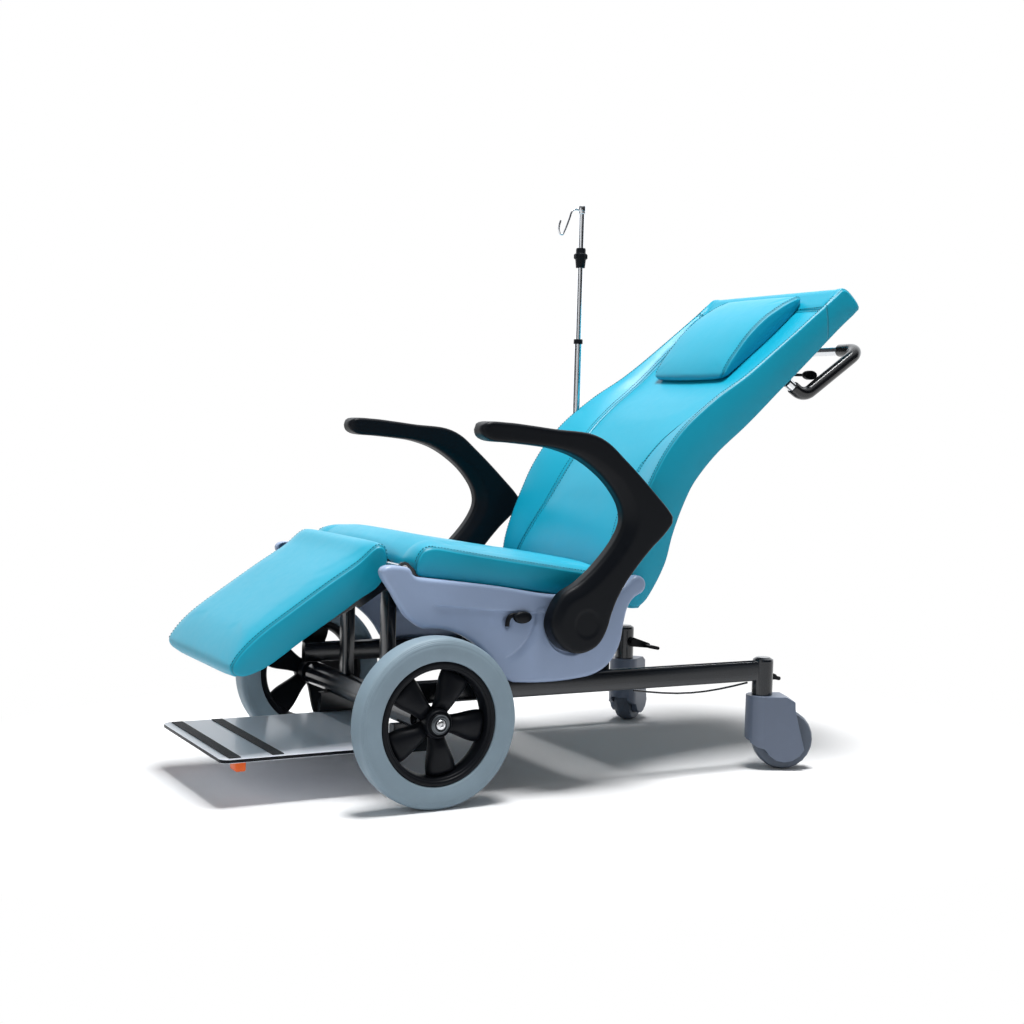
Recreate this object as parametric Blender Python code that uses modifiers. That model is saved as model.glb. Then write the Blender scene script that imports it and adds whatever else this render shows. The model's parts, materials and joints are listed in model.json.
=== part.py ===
"""A reclining wheelchair: four wheels, a padded seat that tilts with its back, a lifting leg rest, flip-up arms,
a sliding footplate, a push bar and an infusion pole. Metres, +Z up. X runs across, the left side at +X, and the
chair faces -Y. Heights count from the floor and lengths from the front axle, and the root empty then centres the
chair along Y."""

import math

import bmesh
import bpy
from mathutils import Matrix, Vector

GAP = 0.0003
RUN_GAP = 0.0010
WHEEL_SIDES = 32

# Front wheels and their beam
WHEEL_RADIUS = 0.1575
TYRE_WIDTH = 0.056
TYRE_INNER_RADIUS = 0.114
WHEEL_X = 0.313
RIM_WIDTH = 0.046
RIM_LIP = 0.013
WEB_THICKNESS = 0.012
HUB_RADIUS = 0.027
SPOKE_COUNT = 5
SPOKE_TURN = {1: math.radians(-8), -1: math.radians(9)}
WINDOW_INNER_RADIUS = 0.042
WINDOW_OUTER_RADIUS = 0.094
WINDOW_HALF_ANGLE = math.radians(15)
AXLE_RADIUS = 0.006
AXLE_NUT_RADIUS = 0.010
AXLE_NUT_LENGTH = 0.0062
HUB_RING_RADIUS = 0.021
HUB_RING_LENGTH = 0.005
BEAM_RADIUS = 0.025
BEAM_HALF_LENGTH = 0.262
AXLE_DEPTH = 0.026

# Side rails, posts and casters
RAIL_X = 0.264
RAIL_WIDTH = 0.020
RAIL_HEIGHT = 0.043
RAIL_FRONT_Y = -0.030
RAIL_CLEARANCE = 0.0005
RAIL_BOTTOM = WHEEL_RADIUS + BEAM_RADIUS + RAIL_CLEARANCE
RAIL_TOP = RAIL_BOTTOM + RAIL_HEIGHT
POST_Y = 0.781
POST_RADIUS = 0.0215
POST_BOTTOM = 0.1535
POST_TOP = RAIL_TOP + 0.006
STEM_RADIUS = 0.006
STEM_TOP = RAIL_TOP - 0.0005
CASTER_RADIUS = 0.0625
CASTER_WIDTH = 0.036
CASTER_TRAIL = 0.045
CASTER_AXLE_RADIUS = 0.005
HOOD_HALF_WIDTH = 0.033
HOOD_SLOT_CLEARANCE = 0.0015
HOOD_WHEEL_CLEARANCE = 0.003
HOOD_LENGTH = 0.064
HOOD_CORNER_DROP = 0.010
HOOD_REAR_DROP = 0.028
HOOD_FRONT_BOTTOM = 0.060
HOOD_DISC_RADIUS = 0.045
CASTER_TURN = {1: math.radians(-25), -1: math.radians(38.5)}

# Uprights and supports between the beam, the rails and the seat frame
UPRIGHT_X = 0.100
UPRIGHT_WIDTH = 0.036
UPRIGHT_DEPTH = 0.020
REAR_SUPPORT_Y = 0.398
REAR_SUPPORT_DEPTH = 0.024
REAR_SUPPORT_WIDTH = 0.0245
REAR_SUPPORT_BOTTOM = RAIL_BOTTOM + 0.007

# Seat: its underside is a straight slope, and the seat frame follows it
SEAT_HALF_WIDTH = 0.2595
SEAT_SLOPE_START = (-0.009, 0.417)
SEAT_SLOPE = -0.1412
SEAT_FRONT_Y = -0.017
SEAT_REAR_Y = 0.413
SEAT_EDGE_THICKNESS_FRONT = 0.043
SEAT_EDGE_THICKNESS_REAR = 0.066
SEAT_CROWN = 0.017
SEAT_LUG_CLEARANCE = 0.018
SEAT_PAN_THICKNESS = 0.008
SEAT_PAN_CLEARANCE = 0.0015
SEAT_TUBE_X = 0.241
SEAT_TUBE_WIDTH = 0.025
SEAT_TUBE_HEIGHT = 0.030
SEAT_TUBE_FRONT_Y = -0.005
SEAT_TUBE_REAR_Y = 0.410

# Cushion seams, from 0 for a soft fold to 1 for a sharp edge
SEAM_CREASE = 0.7

# Hinges, each as (y, z)
LEG_HINGE = (-0.038, 0.433)
BACK_HINGE = (0.455, 0.392)
ARM_HINGE = (0.309, 0.327)
LEG_SHAFT_RADIUS = 0.006
BACK_PIN_RADIUS = 0.008
ARM_PIN_RADIUS = 0.010
LEG_LUG_X = 0.247
BACK_LUG_X = 0.253
LUG_THICKNESS = 0.005
LUG_WALL = 0.006
ARM_PLATE_X = 0.251

# Side shells
SHELL_X = 0.2825
SHELL_SKIN = 0.004
SHELL_RIM_X = 0.260
SHELL_RIM_WALL = 0.004
ARCH_CLEARANCE = 0.0145
ARM_RECESS_RADIUS = 0.063
ARM_RECESS_DEPTH = 0.008
LEVER_PIVOT = (0.166, 0.336)
LEVER_KNOB = (0.191, 0.339)
LEVER_KNOB_LENGTH = 0.040
LEVER_KNOB_HEIGHT = 0.024
LEVER_KNOB_DEPTH = 0.012
LEVER_ARM_THICKNESS = 0.004
LEVER_PIN_RADIUS = 0.0035

# Armrests
ARM_X = 0.3075
ARM_WIDTH = 0.048
ARM_EDGE_ROUND = 0.009
ARM_PIN_DEPTH = 0.038

# Leg rest
LEG_HALF_WIDTH = 0.1925
LEG_CROWN = 0.013
LEG_PLATE_X = 0.165
LEG_PLATE_WIDTH = 0.008
LEG_STRAP_HEIGHT = 0.012
LEG_NECK_DROP = 0.041
LEG_CROSS_RADIUS = 0.007

# Back
BACK_HALF_WIDTH_LOW = 0.2508
BACK_HALF_WIDTH_TOP = 0.2370
BACK_TAPER_START = 0.600
BACK_CAVITY_HALF_WIDTH = 0.228
BACK_CAVITY_DEPTH = 0.0298
BACK_TUBE_X = 0.2135
BACK_TUBE_RADIUS = 0.011
BACK_TUBE_INSET = 0.018
BACK_CROSS_RADIUS = 0.008
BACK_PLATE_X = 0.2295
BACK_PLATE_THICKNESS = 0.006
BACK_BOARD_HALF_WIDTH = 0.198
BACK_BOARD_THICKNESS = 0.006

# Push bar, grips and pillow
PUSH_BAR_RADIUS = 0.011
GRIP_RADIUS = 0.0145
PUSH_CORNER = (1.055, 0.882)
PUSH_BEND = (0.902, 0.776)
PUSH_RISE = 0.036
PUSH_SEAT = 0.0027
RELEASE_KNOB = (0.940, 0.823)
RELEASE_X = 0.185
RELEASE_STEM_RADIUS = 0.0035
RELEASE_PLATE_RADIUS = 0.009
PILLOW_HALF_WIDTH = 0.130

# Footplate
FOOT_HALF_WIDTH = 0.185
FOOT_FRONT_Y = -0.357
FOOT_REAR_Y = 0.060
FOOT_TOP = 0.0905
FOOT_THICKNESS = 0.008
FOOT_CORNER = 0.016
TREAD_DEPTH = 0.022
TREAD_HALF_WIDTH = 0.177
TREAD_HEIGHT = 0.0017
TREAD_FRONT_Y = -0.340
TREAD_REAR_Y = -0.258
BUMPER_X = 0.150
BUMPER_Y = -0.314
BUMPER_WIDTH = 0.034
BUMPER_DEPTH = 0.020
BUMPER_BOTTOM = 0.062
RUNNER_FRONT_Y = -0.025
RUNNER_INNER_X = 0.172
RUNNER_WALL = 0.005

# Infusion pole, on the right rail
POLE_Y = 0.628
POLE_TUBE_RADIUS = 0.00925
POLE_TUBE_TOP = 0.899
POLE_ROD_RADIUS = 0.0064
POLE_ROD_BOTTOM = 0.700
POLE_TOP = 1.203
POLE_CAP_LENGTH = 0.018
POLE_CAP_RADIUS = 0.0095
HOOK_RADIUS = 0.004
COLLAR_DROP = 0.095
COLLAR_LENGTH = 0.046
COLLAR_RADIUS = 0.0145

# Brake links and pedals, on the rails and posts
LINK_FRONT_Y = 0.462
LINK_REAR_Y = 0.742
LINK_SAG = 0.013
LINK_RADIUS = 0.0022
PEDAL_BOLT = (0.787, 0.194)
PEDAL_THICKNESS = 0.005
PEDAL_PAD_WIDTH = 0.030

# Side outlines as (y, z), from the front round the top
ARM_OUTLINE = (
    (0.081, 0.703), (0.129, 0.704), (0.231, 0.694), (0.308, 0.687), (0.345, 0.672), (0.420, 0.609),
    (0.490, 0.541), (0.500, 0.524), (0.484, 0.499), (0.447, 0.464), (0.400, 0.410), (0.378, 0.376),
    (0.364, 0.344), (0.354, 0.313), (0.335, 0.285), (0.307, 0.272), (0.278, 0.273), (0.250, 0.292),
    (0.234, 0.321), (0.237, 0.348), (0.258, 0.383), (0.295, 0.405), (0.337, 0.441), (0.375, 0.487),
    (0.389, 0.519), (0.385, 0.548), (0.363, 0.582), (0.330, 0.613), (0.285, 0.641), (0.235, 0.657),
    (0.198, 0.662), (0.092, 0.671), (0.077, 0.681), (0.074, 0.694),
)
SHELL_FRONT = (
    (-0.042, 0.345), (-0.073, 0.392), (-0.098, 0.428), (-0.097, 0.440), (-0.078, 0.445), (-0.036, 0.436),
    (-0.032, 0.423), (-0.015, 0.417), (0.143, 0.3975), (0.248, 0.380), (0.345, 0.374), (0.412, 0.384),
)
SHELL_REAR = (
    (0.450, 0.373), (0.434, 0.350), (0.425, 0.317), (0.417, 0.276), (0.394, 0.240), (0.361, 0.221),
    (0.309, 0.213), (0.234, 0.211), (0.175, 0.216),
)
SHELL_BOSS_RADIUS = 0.019

# Cushion sections: (y, z) of the upper side seam, then of the underside across from it
LEG_SECTIONS = (
    ((-0.057, 0.446), (-0.056, 0.404)),
    ((-0.068, 0.458), (-0.066, 0.394)),
    ((-0.120, 0.421), (-0.098, 0.371)),
    ((-0.200, 0.364), (-0.174, 0.321)),
    ((-0.280, 0.307), (-0.258, 0.268)),
    ((-0.325, 0.277), (-0.306, 0.243)),
    ((-0.338, 0.265), (-0.326, 0.243)),
)
BACK_SECTIONS = (
    ((0.442, 0.352), (0.482, 0.344)),
    ((0.440, 0.372), (0.500, 0.362)),
    ((0.438, 0.428), (0.540, 0.428)),
    ((0.454, 0.490), (0.557, 0.487)),
    ((0.479, 0.552), (0.578, 0.541)),
    ((0.503, 0.603), (0.600, 0.583)),
    ((0.535, 0.654), (0.627, 0.616)),
    ((0.578, 0.703), (0.667, 0.655)),
    ((0.655, 0.764), (0.740, 0.712)),
    ((0.735, 0.815), (0.812, 0.774)),
    ((0.833, 0.889), (0.885, 0.838)),
    ((0.931, 0.966), (0.970, 0.915)),
    ((0.966, 0.996), (1.012, 0.951)),
    ((0.984, 1.009), (1.028, 0.968)),
)
BOLSTER_SEAM = (0.215, 0.205, 0.185, 0.158, 0.128, 0.108, 0.100, 0.110, 0.140, 0.176, 0.205, 0.214, 0.212, 0.206)
BACK_SUNK = (0.000, 0.001, 0.004, 0.006, 0.008, 0.009, 0.010, 0.012, 0.018, 0.022, 0.020, 0.015, 0.006, 0.001)
PILLOW_SECTIONS = (
    ((0.752, 0.813), (0.757, 0.8095)),
    ((0.757, 0.830), (0.771, 0.8200)),
    ((0.786, 0.870), (0.810, 0.8495)),
    ((0.834, 0.923), (0.858, 0.8870)),
    ((0.888, 0.963), (0.907, 0.9290)),
    ((0.934, 0.988), (0.940, 0.9605)),
    ((0.954, 0.990), (0.951, 0.9760)),
)
PILLOW_CROWN = 0.007

# How a local frame's X, Y and Z lie in the chair: a side outline, a front outline and a turned axis
SIDE_ON = Matrix(((0, 0, 1, 0), (1, 0, 0, 0), (0, 1, 0, 0), (0, 0, 0, 1)))
FRONT_ON = Matrix(((1, 0, 0, 0), (0, 0, -1, 0), (0, 1, 0, 0), (0, 0, 0, 1)))
FLAT = Matrix.Identity(4)


def clear_scene():
    for obj in list(bpy.data.objects):
        bpy.data.objects.remove(obj, do_unlink=True)


clear_scene()
PARTS = bpy.data.collections.new("reclining_wheelchair")
CUTTERS = bpy.data.collections.new("cutters")
bpy.context.scene.collection.children.link(PARTS)
bpy.context.scene.collection.children.link(CUTTERS)


def material(name, colour, roughness, metallic=0.0):
    made = bpy.data.materials.new(name)
    made.use_nodes = True
    shader = made.node_tree.nodes["Principled BSDF"]
    shader.inputs["Base Color"].default_value = (*colour, 1)
    shader.inputs["Roughness"].default_value = roughness
    shader.inputs["Metallic"].default_value = metallic
    made.diffuse_color = (*colour, 1)
    return made


FRAME_PAINT = material("frame_paint", (0.012, 0.019, 0.030), 0.35, 0.4)
PLATE_PAINT = material("plate_paint", (0.47, 0.52, 0.63), 0.35, 0.6)
CHROME = material("chrome", (0.75, 0.75, 0.77), 0.12, 1.0)
STEEL = material("steel", (0.55, 0.56, 0.58), 0.30, 1.0)
UPHOLSTERY = material("upholstery", (0.012, 0.42, 0.62), 0.45)
SHELL_PLASTIC = material("shell_plastic", (0.20, 0.26, 0.38), 0.40)
BLACK_PLASTIC = material("black_plastic", (0.012, 0.012, 0.014), 0.35)
HOOD_PLASTIC = material("hood_plastic", (0.11, 0.14, 0.20), 0.45)
TYRE_RUBBER = material("tyre_rubber", (0.21, 0.31, 0.37), 0.70)
BLACK_RUBBER = material("black_rubber", (0.015, 0.015, 0.016), 0.75)
ORANGE_RUBBER = material("orange_rubber", (0.70, 0.22, 0.05), 0.60)
BOARD = material("board", (0.020, 0.022, 0.026), 0.60)


def add_empty(name, location, parent=None, turn=0.0):
    empty = bpy.data.objects.new(name, None)
    empty.location = location
    empty.rotation_euler = (0, 0, turn)
    empty.empty_display_size = 0.05
    empty.parent = parent
    PARTS.objects.link(empty)
    return empty


def new_object(name, data, collection=None):
    obj = bpy.data.objects.new(name, data)
    (collection or PARTS).objects.link(obj)
    return obj


def baked(obj):
    """The object with its modifiers applied, its points welded and its faces turned out."""
    bpy.context.view_layer.update()
    graph = bpy.context.evaluated_depsgraph_get()
    mesh = bpy.data.meshes.new_from_object(obj.evaluated_get(graph))
    mesh.transform(obj.matrix_world)
    form = bmesh.new()
    form.from_mesh(mesh)
    bmesh.ops.remove_doubles(form, verts=form.verts, dist=1e-5)
    bmesh.ops.recalc_face_normals(form, faces=form.faces)
    form.to_mesh(mesh)
    form.free()
    name = obj.name
    collection = obj.users_collection[0]
    bpy.data.objects.remove(obj, do_unlink=True)
    mesh.shade_smooth()
    mesh.set_sharp_from_angle(angle=math.radians(35))
    return new_object(name, mesh, collection)


def box(name, low, high, rounding=0.0, segments=2):
    """An upright box between two corners."""
    low = Vector(low)
    high = Vector(high)
    form = bmesh.new()
    bmesh.ops.create_cube(form, size=1.0)
    bmesh.ops.scale(form, vec=high - low, verts=form.verts)
    bmesh.ops.translate(form, vec=(low + high) / 2, verts=form.verts)
    mesh = bpy.data.meshes.new(name)
    form.to_mesh(mesh)
    form.free()
    obj = new_object(name, mesh)
    if rounding:
        add_bevel(obj, rounding, segments)
    return baked(obj)


def add_bevel(obj, width, segments=2, angle=40):
    weld = obj.modifiers.new("weld", "WELD")
    weld.merge_threshold = 0.00005
    bevel = obj.modifiers.new("rounding", "BEVEL")
    bevel.width = width
    bevel.segments = segments
    bevel.limit_method = "ANGLE"
    bevel.angle_limit = math.radians(angle)


def rod(name, start, end, radius, sides=16):
    """A round bar between two points."""
    start = Vector(start)
    end = Vector(end)
    form = bmesh.new()
    bmesh.ops.create_cone(form, cap_ends=True, segments=sides, radius1=radius, radius2=radius,
                          depth=(end - start).length)
    turn = Vector((0, 0, 1)).rotation_difference(end - start).to_matrix().to_4x4()
    form.transform(Matrix.Translation((start + end) / 2) @ turn)
    mesh = bpy.data.meshes.new(name)
    form.to_mesh(mesh)
    form.free()
    return baked(new_object(name, mesh))


def turned(name, profile, centre, axis="X", sides=24):
    """A profile of (radius, place along the axis) turned about a line through the centre."""
    mesh = bpy.data.meshes.new(name)
    count = len(profile)
    closed = profile[0][0] > 0 and profile[-1][0] > 0
    edges = [(i, (i + 1) % count) for i in range(count if closed else count - 1)]
    mesh.from_pydata([(radius, 0, along) for radius, along in profile], edges, [])
    obj = new_object(name, mesh)
    screw = obj.modifiers.new("turn", "SCREW")
    screw.steps = sides
    screw.render_steps = sides
    screw.use_merge_vertices = True
    screw.merge_threshold = 0.0001
    turn = Matrix(((0, 0, 1, 0), (0, 1, 0, 0), (-1, 0, 0, 0), (0, 0, 0, 1))) if axis == "X" else FLAT
    obj.matrix_world = Matrix.Translation(centre) @ turn
    return baked(obj)


def plate(name, outline, low, high, facing=SIDE_ON, rounding=0.0, segments=2, angle=40):
    """A flat outline as thick as the space between low and high along its facing direction."""
    curve = bpy.data.curves.new(name, "CURVE")
    curve.dimensions = "2D"
    curve.fill_mode = "BOTH"
    curve.extrude = abs(high - low) / 2
    spline = curve.splines.new("POLY")
    spline.points.add(len(outline) - 1)
    for point, (a, b) in zip(spline.points, outline):
        point.co = (a, b, 0, 1)
    spline.use_cyclic_u = True
    obj = new_object(name, curve)
    obj.matrix_world = facing @ Matrix.Translation((0, 0, (low + high) / 2))
    obj = baked(obj)
    if rounding:
        add_bevel(obj, rounding, segments, angle)
        obj = baked(obj)
    return obj


def tube(name, points, radius, resolution=2):
    """A round wire or tube along points, with closed ends."""
    curve = bpy.data.curves.new(name, "CURVE")
    curve.dimensions = "3D"
    curve.bevel_depth = radius
    curve.bevel_resolution = resolution
    curve.use_fill_caps = True
    spline = curve.splines.new("POLY")
    spline.points.add(len(points) - 1)
    for point, place in zip(spline.points, points):
        point.co = (*place, 1)
    return baked(new_object(name, curve))


def boolean(obj, other, operation, solver="EXACT"):
    step = obj.modifiers.new(operation.lower(), "BOOLEAN")
    step.operation = operation
    step.solver = solver
    step.object = other
    other.hide_render = True
    other.display_type = "WIRE"
    for collection in list(other.users_collection):
        collection.objects.unlink(other)
    CUTTERS.objects.link(other)
    made = baked(obj)
    bpy.data.objects.remove(other, do_unlink=True)
    return made


def joined(obj, *others):
    for other in others:
        obj = boolean(obj, other, "UNION")
    return obj


def cut(obj, *others, solver="EXACT"):
    for other in others:
        obj = boolean(obj, other, "DIFFERENCE", solver)
    return obj


def finish(obj, look, group, pivot=None):
    """Gives the piece its material and its parent, with its origin on the pivot, both in the parent's frame."""
    pivot = Vector(pivot) if pivot else Vector((0, 0, 0))
    obj.data.transform(Matrix.Translation(-pivot))
    obj.location = pivot
    obj.parent = group
    obj.data.materials.clear()
    obj.data.materials.append(look)
    return obj


def arc(centre, radius, start, end, count):
    """Points on a circle, from one angle to another in degrees, both ends included."""
    angles = [math.radians(start + (end - start) * i / (count - 1)) for i in range(count)]
    return [(centre[0] + radius * math.cos(a), centre[1] + radius * math.sin(a)) for a in angles]


def circle(centre, radius, count=20):
    return arc(centre, radius, 0, 360 * (count - 1) / count, count)


def rounded_rectangle(low, high, radius, count=4):
    corners = ((high[0], high[1], 0), (low[0], high[1], 90), (low[0], low[1], 180), (high[0], low[1], 270))
    outline = []
    for x, y, start in corners:
        centre = (x - math.copysign(radius, x - (low[0] + high[0]) / 2),
                  y - math.copysign(radius, y - (low[1] + high[1]) / 2))
        outline += arc(centre, radius, start, start + 90, count)
    return outline


def offset_line(points, distance):
    """The open line moved to its left by a distance."""
    moved = []
    for i, point in enumerate(points):
        before = Vector(points[max(i - 1, 0)])
        after = Vector(points[min(i + 1, len(points) - 1)])
        along = (after - before).normalized()
        moved.append((point[0] - along.y * distance, point[1] + along.x * distance))
    return moved


def capsule(first, second, first_radius, second_radius, count=6):
    """The outline round two circles and the straight sides between them."""
    along = math.degrees(math.atan2(second[1] - first[1], second[0] - first[0]))
    return (arc(first, first_radius, along + 90, along + 270, count)
            + arc(second, second_radius, along - 90, along + 90, count))


def bent(points, radius, count=4):
    """The open path with each inner corner rounded."""
    points = [Vector(p) for p in points]
    path = [points[0]]
    for before, corner, after in zip(points, points[1:], points[2:]):
        arm = (before - corner).normalized()
        other = (after - corner).normalized()
        half = arm.angle(other) / 2
        reach = radius / math.tan(half)
        centre = corner + (arm + other).normalized() * (radius / math.sin(half))
        start = (corner + arm * reach - centre).normalized()
        end = (corner + other * reach - centre).normalized()
        for i in range(count):
            path.append(centre + start.slerp(end, i / (count - 1)) * radius)
    path.append(points[-1])
    return path


def side_of(sign):
    return "left" if sign > 0 else "right"


def seat_underside(y):
    return SEAT_SLOPE_START[1] + (y - SEAT_SLOPE_START[0]) * SEAT_SLOPE


FRONT_AXLE = Vector((0, 0, WHEEL_RADIUS))
HUB_INNER_X = WHEEL_X - TYRE_WIDTH / 2 + 0.0015
HUB_OUTER_X = HUB_INNER_X + 0.0505
WEB_OUTER_X = HUB_OUTER_X - 0.007
AXLE_BORE_RADIUS = AXLE_RADIUS + 0.0005
ROOT_Y = -(FOOT_FRONT_Y + PUSH_CORNER[0] + GRIP_RADIUS) / 2


# Front wheels

def make_tyre(sign, group):
    half = TYRE_WIDTH / 2
    profile = (
        (WHEEL_RADIUS, -0.30 * half), (WHEEL_RADIUS - 0.0025, -0.68 * half), (WHEEL_RADIUS - 0.011, -half),
        (TYRE_INNER_RADIUS + 0.008, -0.90 * half), (TYRE_INNER_RADIUS, -0.78 * half),
        (TYRE_INNER_RADIUS, 0.78 * half), (TYRE_INNER_RADIUS + 0.008, 0.90 * half),
        (WHEEL_RADIUS - 0.011, half), (WHEEL_RADIUS - 0.0025, 0.68 * half), (WHEEL_RADIUS, 0.30 * half),
    )
    centre = FRONT_AXLE + Vector((sign * WHEEL_X, 0, 0))
    obj = turned("tyre_" + side_of(sign), profile, centre, sides=WHEEL_SIDES)
    return finish(obj, TYRE_RUBBER, group, centre)


def make_rim(sign, group):
    centre = FRONT_AXLE + Vector((sign * WHEEL_X, 0, 0))
    outer = TYRE_INNER_RADIUS - GAP
    inner = outer - RIM_LIP
    face = WHEEL_X + RIM_WIDTH / 2
    web_in = WEB_OUTER_X - WEB_THICKNESS
    across = (
        (outer, face - 0.003), (outer - 0.003, face), (inner + 0.002, face - 0.001), (inner - 0.002, WEB_OUTER_X),
        (HUB_RADIUS + 0.004, WEB_OUTER_X + 0.001), (HUB_RADIUS, HUB_OUTER_X), (AXLE_BORE_RADIUS, HUB_OUTER_X),
        (AXLE_BORE_RADIUS, HUB_INNER_X), (HUB_RADIUS - 0.003, HUB_INNER_X), (HUB_RADIUS, web_in),
        (inner, web_in - 0.002), (inner + 0.004, WHEEL_X - RIM_WIDTH / 2), (outer, WHEEL_X - RIM_WIDTH / 2),
    )
    profile = [(radius, sign * (along - WHEEL_X)) for radius, along in across]
    obj = turned("rim_" + side_of(sign), profile, centre, sides=WHEEL_SIDES)
    for i in range(SPOKE_COUNT):
        middle = math.degrees(SPOKE_TURN[sign]) + (i + 0.5) * 360 / SPOKE_COUNT
        half = math.degrees(WINDOW_HALF_ANGLE)
        axle = (FRONT_AXLE.y, FRONT_AXLE.z)
        window = (arc(axle, WINDOW_OUTER_RADIUS, middle - half, middle + half, 4)
                  + arc(axle, WINDOW_INNER_RADIUS, middle + 0.55 * half, middle - 0.55 * half, 2))
        low, high = sorted((sign * (web_in - 0.02), sign * (HUB_OUTER_X + 0.01)))
        obj = cut(obj, plate("window", window, low, high))
    return finish(obj, BLACK_PLASTIC, group, centre)


def make_hub_cap(sign, group):
    centre = FRONT_AXLE + Vector((sign * WHEEL_X, 0, 0))
    start = HUB_OUTER_X + GAP - WHEEL_X
    profile = [(radius, sign * along) for radius, along in (
        (HUB_RING_RADIUS, start), (HUB_RING_RADIUS, start + HUB_RING_LENGTH * 0.6),
        (HUB_RING_RADIUS - 0.003, start + HUB_RING_LENGTH), (AXLE_NUT_RADIUS + 0.001, start + HUB_RING_LENGTH),
        (AXLE_NUT_RADIUS + 0.001, start))]
    return finish(turned("hub_cap_" + side_of(sign), profile, centre, sides=18), BLACK_PLASTIC, group, centre)


# The fixed base

def make_axle_beam(group):
    bore = AXLE_BORE_RADIUS
    end = BEAM_HALF_LENGTH
    floor = end - AXLE_DEPTH - RUN_GAP
    profile = ((0, -floor), (bore, -floor), (bore, -end), (BEAM_RADIUS, -end), (BEAM_RADIUS, end), (bore, end),
               (bore, floor), (0, floor))
    return finish(turned("axle_beam", profile, FRONT_AXLE), FRAME_PAINT, group)


def make_axle_pin(sign, group):
    spacer = 2 * AXLE_RADIUS
    nut = HUB_OUTER_X + GAP
    across = ((0, BEAM_HALF_LENGTH - AXLE_DEPTH), (AXLE_RADIUS, BEAM_HALF_LENGTH - AXLE_DEPTH),
              (AXLE_RADIUS, BEAM_HALF_LENGTH + GAP), (spacer, BEAM_HALF_LENGTH + GAP),
              (spacer, HUB_INNER_X - GAP), (AXLE_RADIUS, HUB_INNER_X - GAP), (AXLE_RADIUS, nut),
              (AXLE_NUT_RADIUS, nut), (AXLE_NUT_RADIUS, nut + AXLE_NUT_LENGTH), (0, nut + AXLE_NUT_LENGTH))
    profile = [(radius, sign * along) for radius, along in across]
    return finish(turned("axle_pin_" + side_of(sign), profile, FRONT_AXLE, sides=12), STEEL, group)


def make_side_rail(sign, group):
    name = "side_rail_" + side_of(sign)
    low = (sign * RAIL_X - RAIL_WIDTH / 2, RAIL_BOTTOM)
    high = (sign * RAIL_X + RAIL_WIDTH / 2, RAIL_TOP)
    section = rounded_rectangle(low, high, RAIL_WIDTH * 0.45, 3)
    rail = plate(name, section, -(POST_Y - POST_RADIUS * 0.7), -RAIL_FRONT_Y, FRONT_ON)
    bore = STEM_RADIUS + 0.0006
    post = ((0, POST_TOP), (POST_RADIUS - 0.008, POST_TOP), (POST_RADIUS - 0.001, POST_TOP - 0.004),
            (POST_RADIUS, POST_TOP - 0.008), (POST_RADIUS, POST_BOTTOM), (bore, POST_BOTTOM),
            (bore, STEM_TOP + 0.0005), (0, STEM_TOP + 0.0005))
    rail = joined(rail, turned("post", post, (sign * RAIL_X, POST_Y, 0), "Z", 20))
    if sign < 0:
        socket = rod("socket", (-RAIL_X, POLE_Y, RAIL_TOP - 0.004), (-RAIL_X, POLE_Y, RAIL_TOP + 0.001),
                     POLE_TUBE_RADIUS * 0.6, 12)
        rail = cut(rail, socket)
    return finish(rail, FRAME_PAINT, group)


def make_upright(sign, group):
    foot = WHEEL_RADIUS + BEAM_RADIUS + GAP
    top = seat_tube_bottom(UPRIGHT_DEPTH / 2) - GAP
    obj = box("front_upright_" + side_of(sign), (sign * UPRIGHT_X - UPRIGHT_WIDTH / 2, -UPRIGHT_DEPTH / 2, foot),
              (sign * UPRIGHT_X + UPRIGHT_WIDTH / 2, UPRIGHT_DEPTH / 2, top), 0.003)
    return finish(obj, FRAME_PAINT, group)


def seat_tube_top(y):
    return seat_underside(y) - SEAT_PAN_THICKNESS - 2 * GAP


def seat_tube_bottom(y):
    return seat_tube_top(y) - SEAT_TUBE_HEIGHT


def make_rear_support(sign, group):
    outer = RAIL_X - RAIL_WIDTH / 2 - GAP
    inner = outer - REAR_SUPPORT_WIDTH
    low, high = sorted((sign * inner, sign * outer))
    front = REAR_SUPPORT_Y - REAR_SUPPORT_DEPTH / 2
    rear = REAR_SUPPORT_Y + REAR_SUPPORT_DEPTH / 2
    outline = ((front, REAR_SUPPORT_BOTTOM), (rear, REAR_SUPPORT_BOTTOM), (rear, seat_tube_bottom(rear) - GAP),
               (front, seat_tube_bottom(front) - GAP))
    obj = plate("rear_support_" + side_of(sign), outline, low, high, rounding=0.003)
    return finish(obj, FRAME_PAINT, group)


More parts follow.
